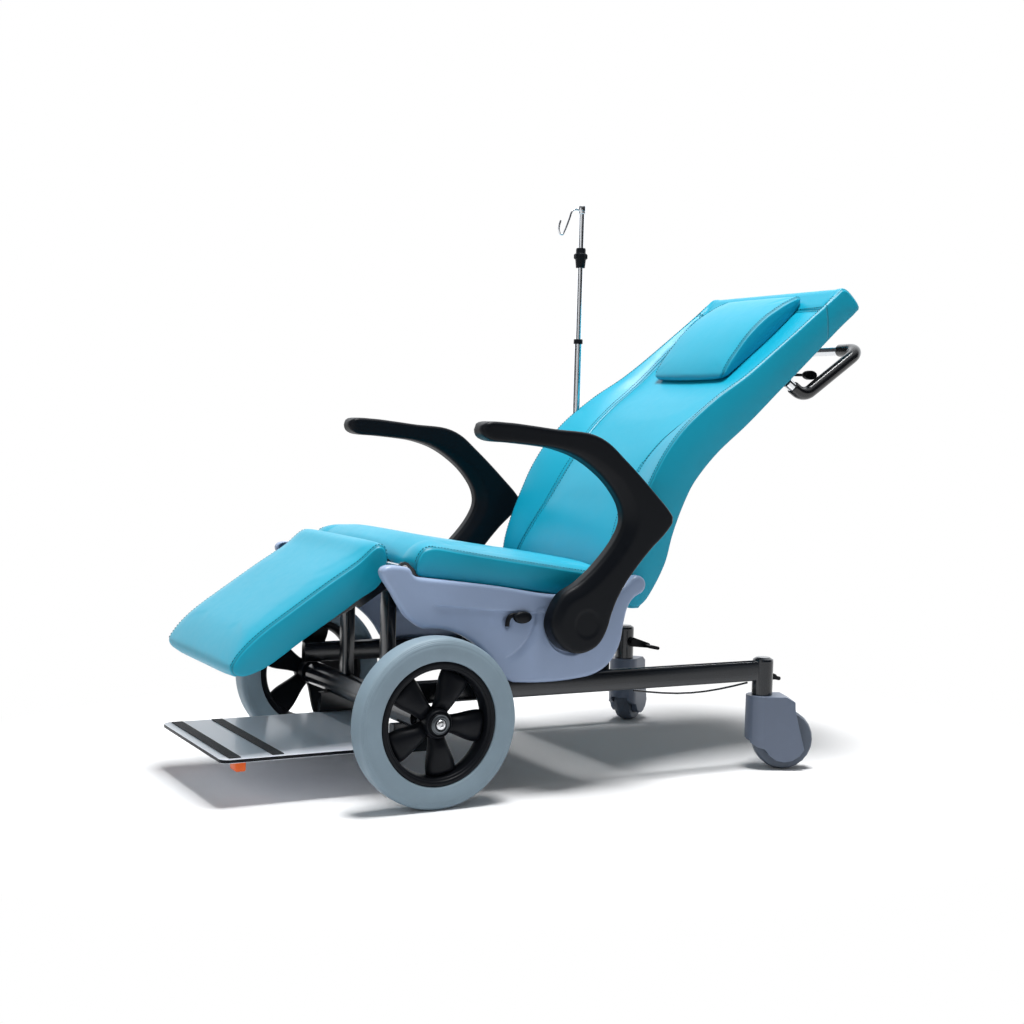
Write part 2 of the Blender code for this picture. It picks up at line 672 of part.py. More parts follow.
def make_seat_frame(group):
    front = SEAT_TUBE_FRONT_Y
    rear = SEAT_TUBE_REAR_Y
    inner = SEAT_TUBE_X - SEAT_TUBE_WIDTH / 2
    outer = SEAT_TUBE_X + SEAT_TUBE_WIDTH / 2
    side = ((front, seat_tube_bottom(front)), (rear, seat_tube_bottom(rear)), (rear, seat_tube_top(rear)),
            (front, seat_tube_top(front)))
    frame = plate("seat_frame", side, -outer, outer)
    under = seat_tube_bottom(rear) - SEAT_TUBE_HEIGHT
    over = seat_tube_top(front) + SEAT_TUBE_HEIGHT
    inside = ((front + SEAT_TUBE_WIDTH, under), (rear - SEAT_TUBE_WIDTH, under), (rear - SEAT_TUBE_WIDTH, over),
              (front + SEAT_TUBE_WIDTH, over))
    frame = cut(frame, plate("inside", inside, -inner, inner))
    for sign in (1, -1):
        wall = LEG_SHAFT_RADIUS + LUG_WALL
        low = sign * LEG_LUG_X - LUG_THICKNESS / 2
        high = sign * LEG_LUG_X + LUG_THICKNESS / 2
        root = (front + 0.012, seat_tube_bottom(front) + 0.014)
        frame = joined(frame, plate("leg_lug", capsule(LEG_HINGE, root, wall, 0.012), low, high))
        frame = cut(frame, rod("leg_bore", (low - 0.02, *LEG_HINGE), (high + 0.02, *LEG_HINGE),
                               LEG_SHAFT_RADIUS + 0.0004, 14))
        wall = BACK_PIN_RADIUS + LUG_WALL
        low = sign * BACK_LUG_X - LUG_THICKNESS / 2
        high = sign * BACK_LUG_X + LUG_THICKNESS / 2
        root = (rear - 0.018, seat_tube_bottom(rear) + 0.017)
        frame = joined(frame, plate("back_lug", capsule(BACK_HINGE, root, wall, 0.012), low, high))
        frame = cut(frame, rod("back_bore", (low - 0.004, *BACK_HINGE), (high + 0.004, *BACK_HINGE),
                               BACK_PIN_RADIUS + 0.0004, 16))
        low = sign * ARM_PLATE_X - LUG_THICKNESS / 2
        high = sign * ARM_PLATE_X + LUG_THICKNESS / 2
        wall = ARM_PIN_RADIUS + LUG_WALL
        root = (ARM_HINGE[0], seat_tube_bottom(ARM_HINGE[0]) + 0.008)
        frame = joined(frame, plate("arm_plate", capsule(ARM_HINGE, root, wall, wall), low, high))
    return finish(frame, FRAME_PAINT, group)


def make_seat_pan(group):
    front = SEAT_TUBE_FRONT_Y
    rear = SEAT_TUBE_REAR_Y
    line = [(front, seat_underside(front) - GAP), (rear, seat_underside(rear) - GAP)]
    under = [(y, z - SEAT_PAN_THICKNESS) for y, z in line]
    half = LEG_LUG_X - LUG_THICKNESS / 2 - SEAT_PAN_CLEARANCE
    obj = plate("seat_pan", line[::-1] + under, -half, half)
    return finish(obj, BOARD, group)


def make_arm_pin(sign, group):
    start = max(ARM_PLATE_X + LUG_THICKNESS / 2, SEAT_TUBE_X + SEAT_TUBE_WIDTH / 2) + GAP
    end = ARM_X - ARM_WIDTH / 2 + ARM_PIN_DEPTH
    obj = rod("arm_pin_" + side_of(sign), (sign * start, *ARM_HINGE), (sign * end, *ARM_HINGE), ARM_PIN_RADIUS)
    return finish(obj, STEEL, group)


def make_back_pin(sign, group):
    inner = BACK_PLATE_X - BACK_PLATE_THICKNESS / 2 - 0.004
    lug_face = BACK_LUG_X + LUG_THICKNESS / 2
    across = ((0, inner), (BACK_PIN_RADIUS, inner), (BACK_PIN_RADIUS, lug_face + GAP),
              (BACK_PIN_RADIUS + 0.003, lug_face + GAP), (BACK_PIN_RADIUS + 0.003, lug_face + 0.004),
              (0, lug_face + 0.004))
    profile = [(radius, sign * along) for radius, along in across]
    obj = turned("back_pin_" + side_of(sign), profile, (0, *BACK_HINGE), sides=16)
    return finish(obj, STEEL, group)


def make_leg_shaft(group):
    reach = LEG_LUG_X + LUG_THICKNESS / 2 + 0.002
    obj = rod("leg_hinge_shaft", (-reach, *LEG_HINGE), (reach, *LEG_HINGE), LEG_SHAFT_RADIUS)
    return finish(obj, STEEL, group)


def make_runner(sign, group):
    bottom = FOOT_TOP - FOOT_THICKNESS - GAP
    inner = RUNNER_INNER_X
    wall = FOOT_HALF_WIDTH + GAP
    outer = wall + RUNNER_WALL
    slot_top = FOOT_TOP + TREAD_HEIGHT + RUN_GAP
    outline = ((inner, bottom - RUNNER_WALL), (outer, bottom - RUNNER_WALL), (outer, WHEEL_RADIUS - BEAM_RADIUS - GAP),
               (inner, WHEEL_RADIUS - BEAM_RADIUS - GAP), (inner, slot_top), (wall, slot_top), (wall, bottom),
               (inner, bottom))
    outline = [(sign * x, z) for x, z in outline]
    obj = plate("footplate_runner_" + side_of(sign), outline, -FOOT_REAR_Y, -RUNNER_FRONT_Y, FRONT_ON)
    return finish(obj, BLACK_PLASTIC, group)


def make_brake_link(sign, group):
    bottom = RAIL_BOTTOM - GAP - LINK_RADIUS
    count = 9
    points = []
    for i in range(count):
        share = i / (count - 1)
        sag = LINK_SAG * math.sin(math.pi * share)
        points.append((sign * RAIL_X, LINK_FRONT_Y + (LINK_REAR_Y - LINK_FRONT_Y) * share, bottom - sag))
    return finish(tube("brake_link_" + side_of(sign), points, LINK_RADIUS, 1), BLACK_PLASTIC, group)


def make_brake_pedal(sign, group):
    bolt = PEDAL_BOLT
    outer = RAIL_X - POST_RADIUS - GAP
    inner = outer - PEDAL_THICKNESS
    low, high = sorted((sign * inner, sign * outer))
    arm = plate("brake_pedal_" + side_of(sign), capsule(bolt, (bolt[0] + 0.044, bolt[1] - 0.010), 0.011, 0.006), low, high)
    pad_low, pad_high = sorted((sign * (outer - PEDAL_PAD_WIDTH), sign * outer))
    pad = plate("pad", capsule((bolt[0] + 0.036, bolt[1] - 0.010), (bolt[0] + 0.056, bolt[1] - 0.014), 0.004, 0.004),
                pad_low, pad_high)
    knob_low, knob_high = sorted((sign * (inner - 0.005), sign * (inner + 0.001)))
    knob = rod("bolt", (knob_low, *bolt), (knob_high, *bolt), 0.007, 12)
    return finish(joined(arm, pad, knob), STEEL, group, (sign * inner, *bolt))


def shell_outline():
    arch = arc((FRONT_AXLE.y, FRONT_AXLE.z), WHEEL_RADIUS + ARCH_CLEARANCE, 27, 94, 7)
    boss = arc(BACK_HINGE, SHELL_BOSS_RADIUS, 140, -60, 8)
    return [*SHELL_FRONT, *boss, *SHELL_REAR[1:], *arch]


def inset(outline, distance):
    """The closed outline, which runs clockwise, moved inward by a distance."""
    count = len(outline)
    moved = []
    for i, point in enumerate(outline):
        here = Vector(point)
        first = (here - Vector(outline[i - 1])).normalized()
        second = (Vector(outline[(i + 1) % count]) - here).normalized()
        normal = Vector((first.y + second.y, -first.x - second.x)).normalized()
        reach = distance / max(normal.dot(Vector((first.y, -first.x))), 0.6)
        moved.append(tuple(here + normal * reach))
    return moved


def make_side_shell(sign, group):
    def across(near, far):
        return sorted((sign * near, sign * far))

    outline = shell_outline()
    shell = plate("side_shell_" + side_of(sign), outline, *across(SHELL_RIM_X, SHELL_X))
    hollow = plate("hollow", inset(outline, SHELL_RIM_WALL), *across(SHELL_RIM_X - 0.01, SHELL_X - SHELL_SKIN))
    shell = cut(shell, hollow)
    skin_in = SHELL_X - SHELL_SKIN
    boss = plate("boss", circle((ARM_HINGE[0] - 0.003, ARM_HINGE[1] - 0.004), ARM_RECESS_RADIUS + SHELL_SKIN, 24),
                 *across(skin_in - ARM_RECESS_DEPTH, skin_in + 0.001))
    recess = plate("recess", circle((ARM_HINGE[0] - 0.003, ARM_HINGE[1] - 0.004), ARM_RECESS_RADIUS, 24),
                   *across(SHELL_X - ARM_RECESS_DEPTH, SHELL_X + 0.01))
    bore = rod("bore", (sign * (SHELL_RIM_X - 0.02), *ARM_HINGE), (sign * (SHELL_X + 0.02), *ARM_HINGE),
               ARM_PIN_RADIUS + 0.0006, 20)
    rail_side = RAIL_X + RAIL_WIDTH / 2 + 0.0008
    near, far = across(RAIL_X - 2 * RAIL_WIDTH, rail_side)
    channel = box("channel", (near, RAIL_FRONT_Y - WHEEL_RADIUS, RAIL_BOTTOM - RAIL_HEIGHT),
                  (far, POST_Y, RAIL_TOP + RUN_GAP))
    lever = rod("lever_bore", (sign * (SHELL_X - 0.01), *LEVER_PIVOT), (sign * (SHELL_X + 0.01), *LEVER_PIVOT),
                LEVER_PIN_RADIUS + 0.0006, 12)
    shell = cut(joined(shell, boss), recess, bore, channel, lever)
    return finish(shell, SHELL_PLASTIC, group)


def make_side_lever(sign, group):
    inner = SHELL_X + GAP
    pin = rod("pin", (sign * (inner - 0.010), *LEVER_PIVOT), (sign * (inner + 0.002), *LEVER_PIVOT),
              LEVER_PIN_RADIUS, 12)
    low, high = sorted((sign * inner, sign * (inner + LEVER_ARM_THICKNESS)))
    arm = plate("side_lever_" + side_of(sign), capsule(LEVER_PIVOT, LEVER_KNOB, 0.007, 0.006), low, high)
    low, high = sorted((sign * (inner + 0.001), sign * (inner + LEVER_KNOB_DEPTH)))
    half = LEVER_KNOB_LENGTH / 2
    oval = [(LEVER_KNOB[0] + half * math.cos(a), LEVER_KNOB[1] + LEVER_KNOB_HEIGHT / 2 * math.sin(a))
            for a in (2 * math.pi * i / 16 for i in range(16))]
    knob = plate("knob", oval, low, high, rounding=0.003, segments=1)
    return finish(joined(arm, pin, knob), BLACK_PLASTIC, group, (sign * inner, *LEVER_PIVOT))


def make_armrest(sign, group):
    low, high = sorted((sign * (ARM_X - ARM_WIDTH / 2), sign * (ARM_X + ARM_WIDTH / 2)))
    arm = plate("armrest_" + side_of(sign), ARM_OUTLINE, low, high, rounding=ARM_EDGE_ROUND, segments=2)
    inner = ARM_X - ARM_WIDTH / 2
    bore = rod("bore", (sign * (inner - 0.01), *ARM_HINGE), (sign * (inner + ARM_PIN_DEPTH + GAP), *ARM_HINGE),
               ARM_PIN_RADIUS + 0.0004, 20)
    return finish(cut(arm, bore), BLACK_PLASTIC, group, (sign * inner, *ARM_HINGE))


# Casters, each built along +Y from its post and turned by its own empty

def make_caster(sign, base):
    name = side_of(sign)
    hood_top = POST_BOTTOM - GAP
    fork = add_empty("caster_fork_" + name, (sign * RAIL_X, POST_Y, hood_top), base, CASTER_TURN[sign])
    centre = (CASTER_TRAIL, CASTER_RADIUS - hood_top)
    disc = arc(centre, HOOD_DISC_RADIUS, -25, -155, 7)
    side = [(-HOOD_HALF_WIDTH, 0), (CASTER_TRAIL, 0), (HOOD_LENGTH, -HOOD_CORNER_DROP),
            (HOOD_LENGTH + 0.001, -HOOD_REAR_DROP), *disc, (-0.012, HOOD_FRONT_BOTTOM - 0.012 - hood_top),
            (-HOOD_HALF_WIDTH, HOOD_FRONT_BOTTOM - hood_top)]
    hood = plate("caster_hood_" + name, side, -HOOD_HALF_WIDTH, HOOD_HALF_WIDTH)
    length = 6 * HOOD_HALF_WIDTH
    plan = [*arc((0, 0), HOOD_HALF_WIDTH, 180, 360, 13), (HOOD_HALF_WIDTH, length), (-HOOD_HALF_WIDTH, length)]
    keep = plate("plan", plan, -2 * hood_top, hood_top, FLAT)
    hood = boolean(hood, keep, "INTERSECT")
    slot = CASTER_WIDTH / 2 + HOOD_SLOT_CLEARANCE
    hood = cut(hood, rod("slot", (-slot, *centre), (slot, *centre), CASTER_RADIUS + HOOD_WHEEL_CLEARANCE, 32))
    hood = cut(hood, box("below", (-slot, -length, -2 * hood_top), (slot, length, centre[1])))
    axle = rod("axle", (-slot - 0.006, *centre), (slot + 0.006, *centre), CASTER_AXLE_RADIUS, 16)
    finish(joined(hood, axle), HOOD_PLASTIC, fork)

    stem = rod("caster_stem_" + name, (0, 0, GAP), (0, 0, STEM_TOP - hood_top), STEM_RADIUS)
    finish(stem, STEEL, fork)

    half = CASTER_WIDTH / 2
    bore = CASTER_AXLE_RADIUS + 0.0006
    hub = CASTER_AXLE_RADIUS * 3
    profile = ((CASTER_RADIUS, -0.5 * half), (CASTER_RADIUS - 0.004, -half), (0.70 * CASTER_RADIUS, -half),
               (hub, -0.7 * half), (bore, -half), (bore, half), (hub, 0.7 * half), (0.70 * CASTER_RADIUS, half),
               (CASTER_RADIUS - 0.004, half), (CASTER_RADIUS, 0.5 * half))
    axis = add_empty("caster_axis_" + name, (0, *centre), fork)
    wheel = turned("caster_wheel_" + name, profile, (0, 0, 0), sides=24)
    finish(wheel, HOOD_PLASTIC, axis)


# Footplate

def make_footplate(group):
    outline = rounded_rectangle((-FOOT_HALF_WIDTH, FOOT_FRONT_Y), (FOOT_HALF_WIDTH, FOOT_REAR_Y), FOOT_CORNER, 5)
    low = FOOT_TOP - FOOT_THICKNESS
    obj = plate("footplate", outline, low, FOOT_TOP, FLAT, rounding=0.0015, segments=1)
    return finish(obj, PLATE_PAINT, group)


def make_tread(name, front, group):
    low = (-TREAD_HALF_WIDTH, front, FOOT_TOP + GAP)
    high = (TREAD_HALF_WIDTH, front + TREAD_DEPTH, FOOT_TOP + TREAD_HEIGHT)
    return finish(box(name, low, high), BLACK_RUBBER, group)


def make_bumper(sign, group):
    low = (sign * BUMPER_X - BUMPER_WIDTH / 2, BUMPER_Y - BUMPER_DEPTH / 2, BUMPER_BOTTOM)
    high = (sign * BUMPER_X + BUMPER_WIDTH / 2, BUMPER_Y + BUMPER_DEPTH / 2, FOOT_TOP - FOOT_THICKNESS - GAP)
    return finish(box("bumper_" + side_of(sign), low, high, 0.003), ORANGE_RUBBER, group)


# Infusion pole

def make_pole_tube(group):
    foot = RAIL_TOP + GAP
    inner = POLE_ROD_RADIUS + 0.0006
    wall = POLE_TUBE_RADIUS
    profile = ((wall - 0.002, POLE_TUBE_TOP), (wall + 0.0012, POLE_TUBE_TOP), (wall + 0.0012, POLE_TUBE_TOP - 0.008),
               (wall, POLE_TUBE_TOP - 0.008), (wall, foot), (inner, foot), (inner, POLE_TUBE_TOP))
    obj = turned("iv_tube", profile[1:], (-RAIL_X, POLE_Y, 0), "Z", 20)
    return finish(obj, CHROME, group)


def make_pole_rod(group):
    x = -RAIL_X
    radius = POLE_ROD_RADIUS
    cap = POLE_TOP - POLE_CAP_LENGTH
    profile = ((0, POLE_TOP), (POLE_CAP_RADIUS - 0.003, POLE_TOP), (POLE_CAP_RADIUS, POLE_TOP - 0.004),
               (POLE_CAP_RADIUS, cap), (radius, cap), (radius, POLE_ROD_BOTTOM), (0, POLE_ROD_BOTTOM))
    pole = turned("iv_rod", profile, (x, POLE_Y, 0), "Z", 16)
    start = cap + POLE_CAP_LENGTH / 2
    path = bent(((x, POLE_Y, start), (x, POLE_Y - 0.030, start), (x, POLE_Y - 0.048, start - 0.054),
                 (x, POLE_Y - 0.064, start - 0.050), (x, POLE_Y - 0.066, start - 0.026)), 0.009, 4)
    return finish(joined(pole, tube("hook", path, HOOK_RADIUS, 2)), CHROME, group, (x, POLE_Y, POLE_ROD_BOTTOM))


def make_pole_collar(group):
    bore = POLE_ROD_RADIUS + GAP
    top = POLE_TOP - COLLAR_DROP
    middle = top - COLLAR_LENGTH / 2
    bottom = top - COLLAR_LENGTH
    profile = ((COLLAR_RADIUS - 0.003, top), (COLLAR_RADIUS, top - 0.004), (COLLAR_RADIUS, middle),
               (bore + 0.002, bottom), (bore, bottom), (bore, top))
    obj = turned("iv_collar", profile, (-RAIL_X, POLE_Y, 0), "Z", 20)
    return finish(obj, BLACK_PLASTIC, group, (-RAIL_X, POLE_Y, middle))


# Cushions

def cushion(name, sections, columns, levels=1):
    """A padded form. Each section is a ring: its columns of (share across, height) over the upper face from the
    left seam to the right one, a drawn-in side, and a flat underside. The crease keeps the seams crisp."""
    form = bmesh.new()
    rings = []
    for (seam, under), half_width, heights in zip(sections, columns["half_widths"], columns["heights"]):
        seam = Vector((0, *seam))
        under = Vector((0, *under))
        out = (seam - under).normalized()
        ring = []
        for x, height in heights:
            ring.append(seam + out * height + Vector((x, 0, 0)))
        waist = seam.lerp(under, 0.5)
        drawn = half_width - columns["drawn_in"]
        ring.append(waist + Vector((drawn, 0, 0)))
        for share in columns["under"]:
            ring.append(under + Vector((share * drawn, 0, 0)))
        ring.append(waist + Vector((-drawn, 0, 0)))
        rings.append([form.verts.new(point) for point in ring])
    count = len(rings[0])
    for first, second in zip(rings, rings[1:]):
        for i in range(count):
            form.faces.new((first[i], first[(i + 1) % count], second[(i + 1) % count], second[i]))
    form.faces.new(rings[0])
    form.faces.new(rings[-1][::-1])
    bmesh.ops.recalc_face_normals(form, faces=form.faces)
    seams = form.edges.layers.float.new("crease_edge")
    upper = len(columns["heights"][0])
    for i in (0, upper - 1, upper + 1, count - 2):
        for first, second in zip(rings, rings[1:]):
            form.edges.get((first[i], second[i]))[seams] = columns["crease"]
    for ring in (rings[0], rings[-1]):
        for i in range(count):
            form.edges.get((ring[i], ring[(i + 1) % count]))[seams] = columns["crease"]
    mesh = bpy.data.meshes.new(name)
    form.to_mesh(mesh)
    form.free()
    obj = new_object(name, mesh)
    soften = obj.modifiers.new("soften", "SUBSURF")
    soften.levels = levels
    soften.render_levels = levels
    return baked(obj)


def dome(half_width, crown, channel=0.0035):
    """Heights over a plain cushion: a seam, a shallow sewn channel inside it, and a crown."""
    shares = (-1.0, -0.93, -0.78, -0.40, 0.0, 0.40, 0.78, 0.93, 1.0)
    heights = []
    for share in shares:
        rise = crown * (1 - abs(share) ** 3)
        if abs(share) == 0.93:
            rise -= channel
        if abs(share) == 1.0:
            rise = 0.0
        heights.append((share * half_width, rise))
    return heights


def seat_sections():
    """Side seam and underside of the seat from its front face to its rear end."""
    places = (0.0, 0.035, 0.16, 0.42, 0.70, 0.93, 1.0)
    length = SEAT_REAR_Y - SEAT_FRONT_Y
    sections = []
    for share in places:
        y = SEAT_FRONT_Y + share * length
        rise = SEAT_EDGE_THICKNESS_FRONT + (SEAT_EDGE_THICKNESS_REAR - SEAT_EDGE_THICKNESS_FRONT) * share
        end = share in (0.0, 1.0)
        slope_y = y + (0.0015 if share == 0.0 else 0.0)
        low = seat_underside(y) + (SEAT_LUG_CLEARANCE if end else 0.0)
        sections.append(((y, seat_underside(y) + rise - (0.007 if end else 0.0)), (slope_y, low)))
    return sections


def make_seat_cushion(group):
    sections = seat_sections()
    count = len(sections)
    crowns = [SEAT_CROWN * c for c in (0.15, 0.55, 0.95, 1.0, 1.0, 0.6, 0.15)]
    widths = [SEAT_HALF_WIDTH - (0.004 if i in (0, count - 1) else 0.0) for i in range(count)]
    columns = {"half_widths": widths, "heights": [dome(w, c) for w, c in zip(widths, crowns)],
               "drawn_in": 0.004, "under": (1.0, 0.0, -1.0), "crease": SEAM_CREASE}
    return finish(cushion("seat_cushion", sections, columns), UPHOLSTERY, group)


def make_leg_cushion(group):
    count = len(LEG_SECTIONS)
    crowns = [LEG_CROWN * c for c in (0.1, 0.6, 1.0, 1.0, 1.0, 0.6, 0.1)]
    widths = [LEG_HALF_WIDTH - (0.004 if i in (0, count - 1) else 0.0) for i in range(count)]
    columns = {"half_widths": widths, "heights": [dome(w, c) for w, c in zip(widths, crowns)],
               "drawn_in": 0.004, "under": (1.0, 0.0, -1.0), "crease": SEAM_CREASE}
    return finish(cushion("leg_cushion", LEG_SECTIONS, columns), UPHOLSTERY, group)


def make_leg_frame(group):
    under = [section[1] for section in LEG_SECTIONS[2:6]]
    top = offset_line(under, 0.0012)
    low = offset_line(under, 0.0012 + LEG_STRAP_HEIGHT)
    ring = LEG_SHAFT_RADIUS + 0.005
    neck_end = (LEG_HINGE[0] - 0.005, LEG_HINGE[1] - LEG_NECK_DROP)
    frame = None
    for sign in (1, -1):
        inner = sign * LEG_PLATE_X - LEG_PLATE_WIDTH / 2
        outer = sign * LEG_PLATE_X + LEG_PLATE_WIDTH / 2
        strap = plate("leg_frame", [*top, *low[::-1]], inner, outer)
        neck = plate("neck", capsule(LEG_HINGE, neck_end, ring, 0.008), inner, outer)
        elbow = plate("elbow", capsule(neck_end, low[0], 0.008, 0.007), inner, outer)
        bore = rod("bore", (inner - 0.01, *LEG_HINGE), (outer + 0.01, *LEG_HINGE), LEG_SHAFT_RADIUS + 0.0005, 16)
        side = cut(joined(strap, elbow, neck), bore)
        frame = joined(frame, side) if frame else side
    for i in (0, 2):
        middle = (Vector(top[i]) + Vector(low[i])) / 2 + (Vector(top[i + 1]) - Vector(top[i])) * 0.3
        cross = rod("cross", (-LEG_PLATE_X, *middle), (LEG_PLATE_X, *middle), LEG_CROSS_RADIUS, 8)
        frame = joined(frame, cross)
    frame.name = "leg_frame"
    return finish(frame, FRAME_PAINT, group)


def back_half_widths():
    low = BACK_SECTIONS[0][0][1]
    top = BACK_SECTIONS[-1][0][1]
    widths = []
    for seam, _ in BACK_SECTIONS:
        share = max(0.0, (seam[1] - BACK_TAPER_START) / (top - BACK_TAPER_START)) if seam[1] > low else 0.0
        widths.append(BACK_HALF_WIDTH_LOW + (BACK_HALF_WIDTH_TOP - BACK_HALF_WIDTH_LOW) * min(1.0, 1.6 * share))
    return widths


def make_back_cushion(group):
    heights = []
    widths = back_half_widths()
    widths[0] -= 0.003
    widths[-1] -= 0.006
    for width, seam, sunk in zip(widths, BOLSTER_SEAM, BACK_SUNK):
        seam = min(seam, width - 0.018)
        bulge = 0.004 * min(1.0, (width - seam) / 0.06)
        middle = (width + seam) / 2
        half = [(width, 0.0), (middle, bulge - 0.2 * sunk), (seam + 0.005, -0.75 * sunk), (seam - 0.004, -sunk - 0.002),
                (0.55 * seam, -sunk + 0.0005)]
        heights.append([(-x, h) for x, h in half] + [(0.0, -sunk + 0.001)] + half[::-1])
    columns = {"half_widths": widths, "heights": heights, "drawn_in": 0.003, "under": (1.0, 0.0, -1.0),
               "crease": SEAM_CREASE}
    cushion_form = cushion("back_cushion", BACK_SECTIONS, columns)
    rear = [section[1] for section in BACK_SECTIONS[1:-1]]
    deep = offset_line(rear, BACK_CAVITY_DEPTH)
    past = offset_line(rear, -0.03)
    cavity = plate("cavity", [*deep, *past[::-1]], -BACK_CAVITY_HALF_WIDTH, BACK_CAVITY_HALF_WIDTH)
    cushion_form = cut(cushion_form, cavity, solver="MANIFOLD")
    for sign in (1, -1):
        wide = BACK_PLATE_THICKNESS / 2 + 2 * GAP
        slot = plate("slot", back_plate_outline(0.0012), sign * BACK_PLATE_X - wide, sign * BACK_PLATE_X + wide)
        hole = rod("hole", (sign * (BACK_PLATE_X - 0.008), *BACK_HINGE), (sign * 0.27, *BACK_HINGE), BACK_PIN_RADIUS + 0.0012, 16)
        cushion_form = cut(cushion_form, slot, hole, solver="MANIFOLD")
    return finish(cushion_form, UPHOLSTERY, group, (0, *BACK_HINGE))


def back_rear_line():
    """The rear face from the foot of the back's tubes to a little below the top of its cavity."""
    line = [Vector(section[1]) for section in BACK_SECTIONS[2:-1]]
    line[-1] = line[-2].lerp(line[-1], 0.85)
    return [tuple(point) for point in line]


def back_tube_line():
    """The centre line of the back frame's side tubes, inside the rear face."""
    return offset_line(back_rear_line(), BACK_TUBE_INSET)


def back_plate_outline(clearance=0.0):
    """The plate that joins a side tube to its hinge, larger by a clearance."""
    wall = BACK_PIN_RADIUS + 0.0045
    foot = back_tube_line()[0]
    return capsule(BACK_HINGE, foot, wall + clearance, BACK_TUBE_RADIUS + clearance, 9)


def make_back_frame(group):
    line = back_tube_line()
    frame = None
    for sign in (1, -1):
        side = tube("back_frame", [(sign * BACK_TUBE_X, y, z) for y, z in line], BACK_TUBE_RADIUS, 1)
        low = sign * BACK_PLATE_X - BACK_PLATE_THICKNESS / 2
        high = sign * BACK_PLATE_X + BACK_PLATE_THICKNESS / 2
        foot = line[0]
        toe = plate("toe", back_plate_outline(), low, high)
        boss = rod("boss", (sign * BACK_TUBE_X, *foot), (sign * BACK_PLATE_X, *foot), BACK_CROSS_RADIUS, 8)
        bore = rod("bore", (low - 0.004, *BACK_HINGE), (high + 0.004, *BACK_HINGE), BACK_PIN_RADIUS + 0.0004, 20)
        side = cut(joined(side, boss, toe), bore)
        frame = joined(frame, side) if frame else side
    for i in (0, 5, len(line) - 2):
        place = Vector(line[i]) + (Vector(line[i + 1]) - Vector(line[i])) * 0.35
        cross = rod("cross", (-BACK_TUBE_X, *place), (BACK_TUBE_X, *place), BACK_CROSS_RADIUS, 8)
        frame = joined(frame, cross)
    frame.name = "back_frame"
    return finish(frame, FRAME_PAINT, group, (0, *BACK_HINGE))


def make_back_board(group):
    rear = back_rear_line()
    inner = BACK_TUBE_INSET - BACK_CROSS_RADIUS - GAP
    front = offset_line(rear, inner)
    face = offset_line(rear, inner - BACK_BOARD_THICKNESS)
    obj = plate("back_board", [*front, *face[::-1]], -BACK_BOARD_HALF_WIDTH, BACK_BOARD_HALF_WIDTH)
    return finish(obj, BOARD, group, (0, *BACK_HINGE))


def crossing(line, point):
    """Where the level through a point crosses a rising line, and the line's direction there."""
    for first, second in zip(line, line[1:]):
        if first[1] <= point[1] <= second[1]:
            share = (point[1] - first[1]) / (second[1] - first[1])
            place = Vector(first).lerp(Vector(second), share)
            return place, (Vector(second) - Vector(first)).normalized()
    return Vector(line[-1]), (Vector(line[-1]) - Vector(line[-2])).normalized()


def push_start():
    """Where the push bar's end meets the back's side tube, square to nothing but clear of it."""
    bend = Vector(PUSH_BEND)
    place, along = crossing(back_tube_line(), (0, PUSH_BEND[1] + PUSH_RISE))
    reach = (bend - place).normalized()
    slant = math.acos(abs(reach.dot(along)))
    return place + reach * ((BACK_TUBE_RADIUS + GAP) / math.sin(slant) + PUSH_SEAT)


def push_path(sign):
    x = sign * BACK_TUBE_X
    return [(x, *push_start()), (x, *PUSH_BEND), (x, *PUSH_CORNER), (0, *PUSH_CORNER)]


def make_push_bar(group):
    half = bent(push_path(1), 0.026, 5)
    path = half[:-1] + [(-p[0], p[1], p[2]) for p in half[::-1][1:]]
    return finish(tube("push_bar", path, PUSH_BAR_RADIUS, 2), CHROME, group, (0, *BACK_HINGE))


def make_grip(sign, group):
    """A rubber sleeve over the slanted end and the corner of the push bar."""
    path = bent(push_path(sign), 0.026, 5)
    start = Vector(path[5]).lerp(Vector(path[6]), 0.45)
    end = Vector(path[-2]).lerp(Vector(path[-1]), 0.22)
    route = [start, *path[6:-1], end]
    sleeve = tube("grip_" + side_of(sign), route, GRIP_RADIUS, 2)
    longer = [start + (start - Vector(path[6])).normalized() * 0.005, *path[6:-1], Vector(end) - Vector((sign * 0.005, 0, 0))]
    bore = tube("bore", longer, PUSH_BAR_RADIUS + GAP, 2)
    return finish(cut(sleeve, bore), BLACK_RUBBER, group, (0, *BACK_HINGE))


def make_release_lever(group):
    rear = Vector((RELEASE_X, *RELEASE_KNOB))
    face = offset_line(back_rear_line(), BACK_TUBE_INSET - BACK_CROSS_RADIUS - BACK_BOARD_THICKNESS - 3 * GAP)
    place, along = crossing(face, RELEASE_KNOB)
    place = Vector((RELEASE_X, *place))
    out = Vector((0, along.y, -along.x))
    mount = place + out * 0.002
    seat = rod("plate", place, place + out * 0.005, RELEASE_PLATE_RADIUS, 12)
    stem = tube("stem", (mount, mount.lerp(rear, 0.5), rear), RELEASE_STEM_RADIUS, 1)
    low, high = RELEASE_X - 0.006, RELEASE_X + 0.006
    oval = [(rear.y + 0.017 * math.cos(a), rear.z + 0.010 * math.sin(a))
            for a in (2 * math.pi * i / 14 for i in range(14))]
    knob = plate("release_lever", oval, low, high, rounding=0.003, segments=1)
    return finish(joined(knob, stem, seat), BLACK_PLASTIC, group, mount)


